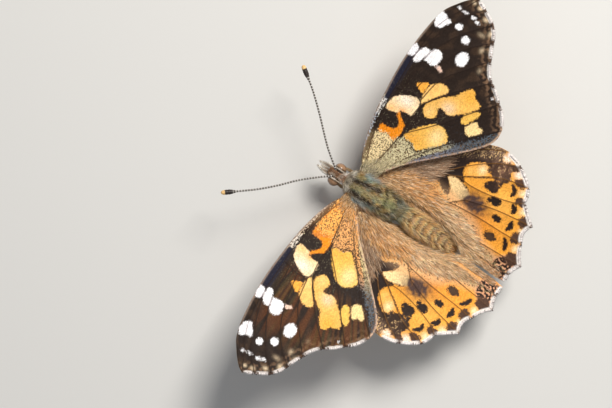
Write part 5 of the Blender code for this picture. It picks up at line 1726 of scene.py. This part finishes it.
def tube_tufts(name, slot_name, route, radii, count, length, width, lift, colours, shorten=0.0):
    """Scales along a thin limb, that lie toward its tip."""
    tangents = unit(np.gradient(route, axis=0))
    at = rng.integers(0, len(route) - 1, count)
    turn = rng.uniform(0, tau, count)
    side = unit(np.cross(tangents[at], (0.31, 0.2, 0.93)))
    over = np.cross(tangents[at], side)
    out = side * np.cos(turn)[:, None] + over * np.sin(turn)[:, None]
    radii = np.broadcast_to(radii, len(route))
    root = route[at] + out * (radii[at] - 0.02)[:, None]
    size = length * uneven(count, 0.2, 0.6, 1.5) * (1 - shorten * at / len(route))
    rise = lift * uneven(count, 0.4, 0.2, 2.0) * (1 - shorten * at / len(route))
    t = np.linspace(0.0, 1.0, 4)[None, :, None]
    spines = root[:, None] + tangents[at][:, None] * size[:, None, None] * t
    spines = spines + out[:, None] * (rise[:, None, None] * (1.5 * t - 0.8 * t**2))
    spines[..., 2] = np.maximum(spines[..., 2], 0.6 * width - FLOOR_DROP)
    tint = colours(out, at / len(route)) * (0.8 + 0.4 * rng.random((count, 1)))
    places = np.stack([turn / tau * 0.97, at / len(route) * 0.97], -1)
    # The roots are darker than the tint: painted shade among the scales.
    piece = tuft_piece(name, spines, out, np.full(count, width), tint * 0.85, np.clip(tint * 1.15, 0, 1),
                       places, hair_finish)
    keep(piece, slot_name)


def palp_colours(out, share):
    return layered(
        plain(len(out), 244, 236, 224),
        ((150, 116, 84), 0.7 * fade(0.7, 0.98, out[:, 2])),
        ((120, 98, 78), 0.5 * fade(0.86, 1.0, share)))


def build_palp(side_name, material):
    side = SIDES[side_name]
    shape = [(HEAD_SIDE + side * x * 0.78, y, z) for x, y, z in PALP_ROUTE]
    route = curve_through(shape, 0.05)
    share = np.linspace(0, 1, len(route))
    radii = smooth_values(list(zip((0.0, 0.33, 0.66, 1.0), PALP_RADII)), share)
    radii[-4:] *= [0.9, 0.7, 0.45, 0.15]
    points, faces, along, turn, out = tube(route, radii, 20)
    colours = palp_colours(out, along / along.max())
    painted_piece(f"palp_{side_name}_skin", points, faces, material, colours, tube_unwrap(along, turn),
                  "palp_hair", "palp_" + side_name)
    tube_tufts(f"palp_{side_name}_coat", "palp_hair", route, radii, 1500, 0.42, 0.045, 0.13, palp_colours,
               shorten=0.55)


def build_face_hair():
    """The bunch of pale hair that fills the gap between the palps."""
    shape = [(HEAD_SIDE, -3.75, -0.8), (HEAD_SIDE, -4.6, -0.85), (HEAD_SIDE, -5.3, -0.6)]
    route = curve_through(shape, 0.03)
    tube_tufts("face_hair", "head_hair", route, np.linspace(0.28, 0.05, len(route)), 1200, 0.5, 0.04, 0.08,
               palp_colours, shorten=0.6)


def build_tongue(material):
    """The tongue, coiled up under the head as it is at rest."""
    t = np.linspace(0, 1, 260)
    angle = COIL_START - t * COIL_TURNS * tau
    reach = COIL_RADIUS + (COIL_EYE - COIL_RADIUS) * t
    spiral = np.stack([COIL_CENTRE[0] + 0 * t, COIL_CENTRE[1] + reach * np.cos(angle),
                       COIL_CENTRE[2] + reach * np.sin(angle)], -1)
    # The tongue comes down from the mouth and runs into the coil without a kink.
    lead = curve_through([(HEAD_SIDE, -3.2, -1.25), (HEAD_SIDE, -3.5, -1.75), spiral[0], spiral[8]], 0.04)
    route = np.concatenate([lead[:-13], spiral[2:]])
    points, faces, along, turn, _ = tube(route, np.linspace(0.13, 0.07, len(route)), 12)
    ringed = 0.5 + 0.5 * np.cos(along / TONGUE_RING_PITCH * tau)
    colours = toward(plain(len(points), 92, 60, 36), linear(150, 104, 62), ringed * 0.6)
    painted_piece("proboscis_coil", points, faces, material, colours, tube_unwrap(along, turn), "proboscis",
                  "proboscis")


# The legs

FOOT = -FLOOR_DROP + 0.2
# Hip, thigh, knee, shin and the joints of the foot.
LEG_ROUTES = {
    "midleg": [(1.1, 2.1, -1.8), (1.75, 1.9, -2.9), (3.6, 0.4, -1.7), (5.0, -0.5, -1.2), (5.9, -0.35, -3.4),
               (6.75, -0.1, -5.9), (7.3, -0.5, FOOT), (8.0, -1.05, FOOT), (8.7, -1.6, FOOT)],
    "hindleg": [(1.0, 4.6, -1.7), (1.55, 4.9, -2.8), (3.5, 6.4, -1.9), (5.2, 7.6, -1.4), (6.1, 9.6, -3.6),
                (6.95, 11.6, -5.9), (7.25, 12.4, FOOT), (7.65, 13.5, FOOT), (8.0, 14.7, FOOT)],
    "foreleg": [(0.75, -0.3, -1.7), (1.15, -0.6, -2.75), (1.3, -1.6, -2.95), (1.1, -2.7, -2.6)],
}
LEG_RADII = {
    "midleg": [0.34, 0.32, 0.24, 0.19, 0.15, 0.13, 0.12, 0.12, 0.1],
    "hindleg": [0.34, 0.32, 0.24, 0.19, 0.15, 0.13, 0.12, 0.12, 0.1],
    "foreleg": [0.26, 0.24, 0.2, 0.1],
}


def leg_colours(out, share):
    """Greyish scales on the thigh, darker on its top, and a browner foot."""
    return layered(
        plain(len(out), 208, 178, 138),
        ((196, 188, 172), 0.8 * fade(0.5, 0.35, share)),
        ((110, 92, 72), 0.6 * fade(0.5, 0.3, share) * fade(0.2, 0.8, out[:, 2])),
        ((160, 112, 70), 0.5 * fade(0.7, 0.9, share)))


def build_leg(kind, side_name, material):
    """One leg from hip to claw. The walking legs have a foot of five joints flat on the floor."""
    side = SIDES[side_name]
    shape = np.array(LEG_ROUTES[kind]) * (side, 1, 1)
    route = curve_through(shape, 0.06)
    knots = [int(np.argmin(np.linalg.norm(route - place, axis=1))) for place in shape]
    index = np.arange(len(route))
    radii = smooth_values(list(zip(knots, LEG_RADII[kind])), index)
    if kind != "foreleg":
        on_floor = fade(knots[5], knots[6], index)
        route[:, 2] -= on_floor * (0.2 - radii)
        joints = (index - knots[6]) / (len(route) - 1 - knots[6]) * 5
        radii = radii * (1 - 0.2 * on_floor * np.exp(-(((joints - np.round(joints)) / 0.12) ** 2)))
        knee = np.exp(-(((index - knots[3]) / 5.0) ** 2))
        radii = radii * (1 + 0.12 * knee)
    radii[-1] *= 0.5
    points, faces, along, turn, out = tube(route, radii, 12)
    name = f"{kind}_{side_name}"
    painted_piece(name + "_skin", points, faces, material, leg_colours(out, along / along.max()),
                  tube_unwrap(along, turn), "leg", name)
    scaled = slice(0, knots[5] if kind != "foreleg" else len(route))
    tube_tufts(name + "_coat", "leg", route[scaled], radii[scaled], 700, 0.22, 0.045, 0.05, leg_colours)
    if kind != "foreleg":
        spiny = slice(knots[3], -3)
        tube_tufts(name + "_spines", "leg", route[spiny], radii[spiny], 90, 0.2, 0.03, 0.14,
                   lambda out, share: plain(len(out), 96, 66, 42))


limb_finish = painted_finish("limb_finish", 0.55, bump=0.00002)
feeler_finish = painted_finish("feeler_finish", 0.45)
eyeball_finish = eye_finish()
for side_name in SIDES:
    build_eye(side_name, eyeball_finish)
    build_antenna(side_name, feeler_finish)
    build_palp(side_name, limb_finish)
    for kind in LEG_ROUTES:
        build_leg(kind, side_name, limb_finish)
build_face_hair()
build_tongue(painted_finish("tongue_finish", 0.35))


# The floor, the light and the camera

def look_from(thing, place, target):
    thing.location = Vector(place)
    thing.rotation_euler = (Vector(target) - Vector(place)).to_track_quat("-Z", "Y").to_euler()


def area_light(name, place, target, power, size, colour):
    data = bpy.data.lights.new(name, "AREA")
    data.energy = power
    data.size = size
    data.color = colour
    lamp = bpy.data.objects.new(name, data)
    bpy.context.scene.collection.objects.link(lamp)
    look_from(lamp, place, target)


FLOOR_HALF = 2.0
corners = [(-FLOOR_HALF, -FLOOR_HALF, 0), (FLOOR_HALF, -FLOOR_HALF, 0), (FLOOR_HALF, FLOOR_HALF, 0),
           (-FLOOR_HALF, FLOOR_HALF, 0)]
floor_mesh = bpy.data.meshes.new("floor")
floor_mesh.from_pydata(corners, [], [(0, 1, 2, 3)])
floor_mesh.materials.append(Finish("floor_finish", 0.9, (0.62, 0.61, 0.59), specular=0.1).material)
floor = bpy.data.objects.new("floor", floor_mesh)
bpy.context.scene.collection.objects.link(floor)

middle = (0.0, 0.0, 0.008)
area_light("key_light", (-0.2, 0.0, 0.3), middle, 1.6, 0.13, (1.0, 0.97, 0.92))
area_light("fill_light", (0.3, 0.12, 0.3), middle, 0.3, 0.3, (0.93, 0.96, 1.0))
SKY_COLOUR = (0.9, 0.94, 1.0, 1.0)
SKY_STRENGTH = 0.24
sky = bpy.data.worlds.new("studio")
sky.use_nodes = True
sky_light = sky.node_tree.nodes["Background"]
sky_light.inputs["Color"].default_value = SKY_COLOUR
sky_light.inputs["Strength"].default_value = SKY_STRENGTH
bpy.context.scene.world = sky
bpy.context.scene.view_settings.view_transform = "Standard"

# The camera looks straight down, as in the photo, with the butterfly's head toward its upper left.
CAMERA_PLACE = [6.18, -4.28, 350.0]
CAMERA_RIGHT = (-0.537, 0.8436, 0.0)
lens = bpy.data.cameras.new("camera")
lens.lens = 144.1
lens.sensor_width = 36.0
lens.clip_start = 0.01
camera = bpy.data.objects.new("camera", lens)
bpy.context.scene.collection.objects.link(camera)
right = Vector(CAMERA_RIGHT).normalized()
up = Vector((-right.y, right.x, 0.0))
turn = Matrix((right, up, right.cross(up))).transposed().to_4x4()
camera.matrix_world = Matrix.Translation(world(CAMERA_PLACE)) @ turn
bpy.context.scene.camera = camera
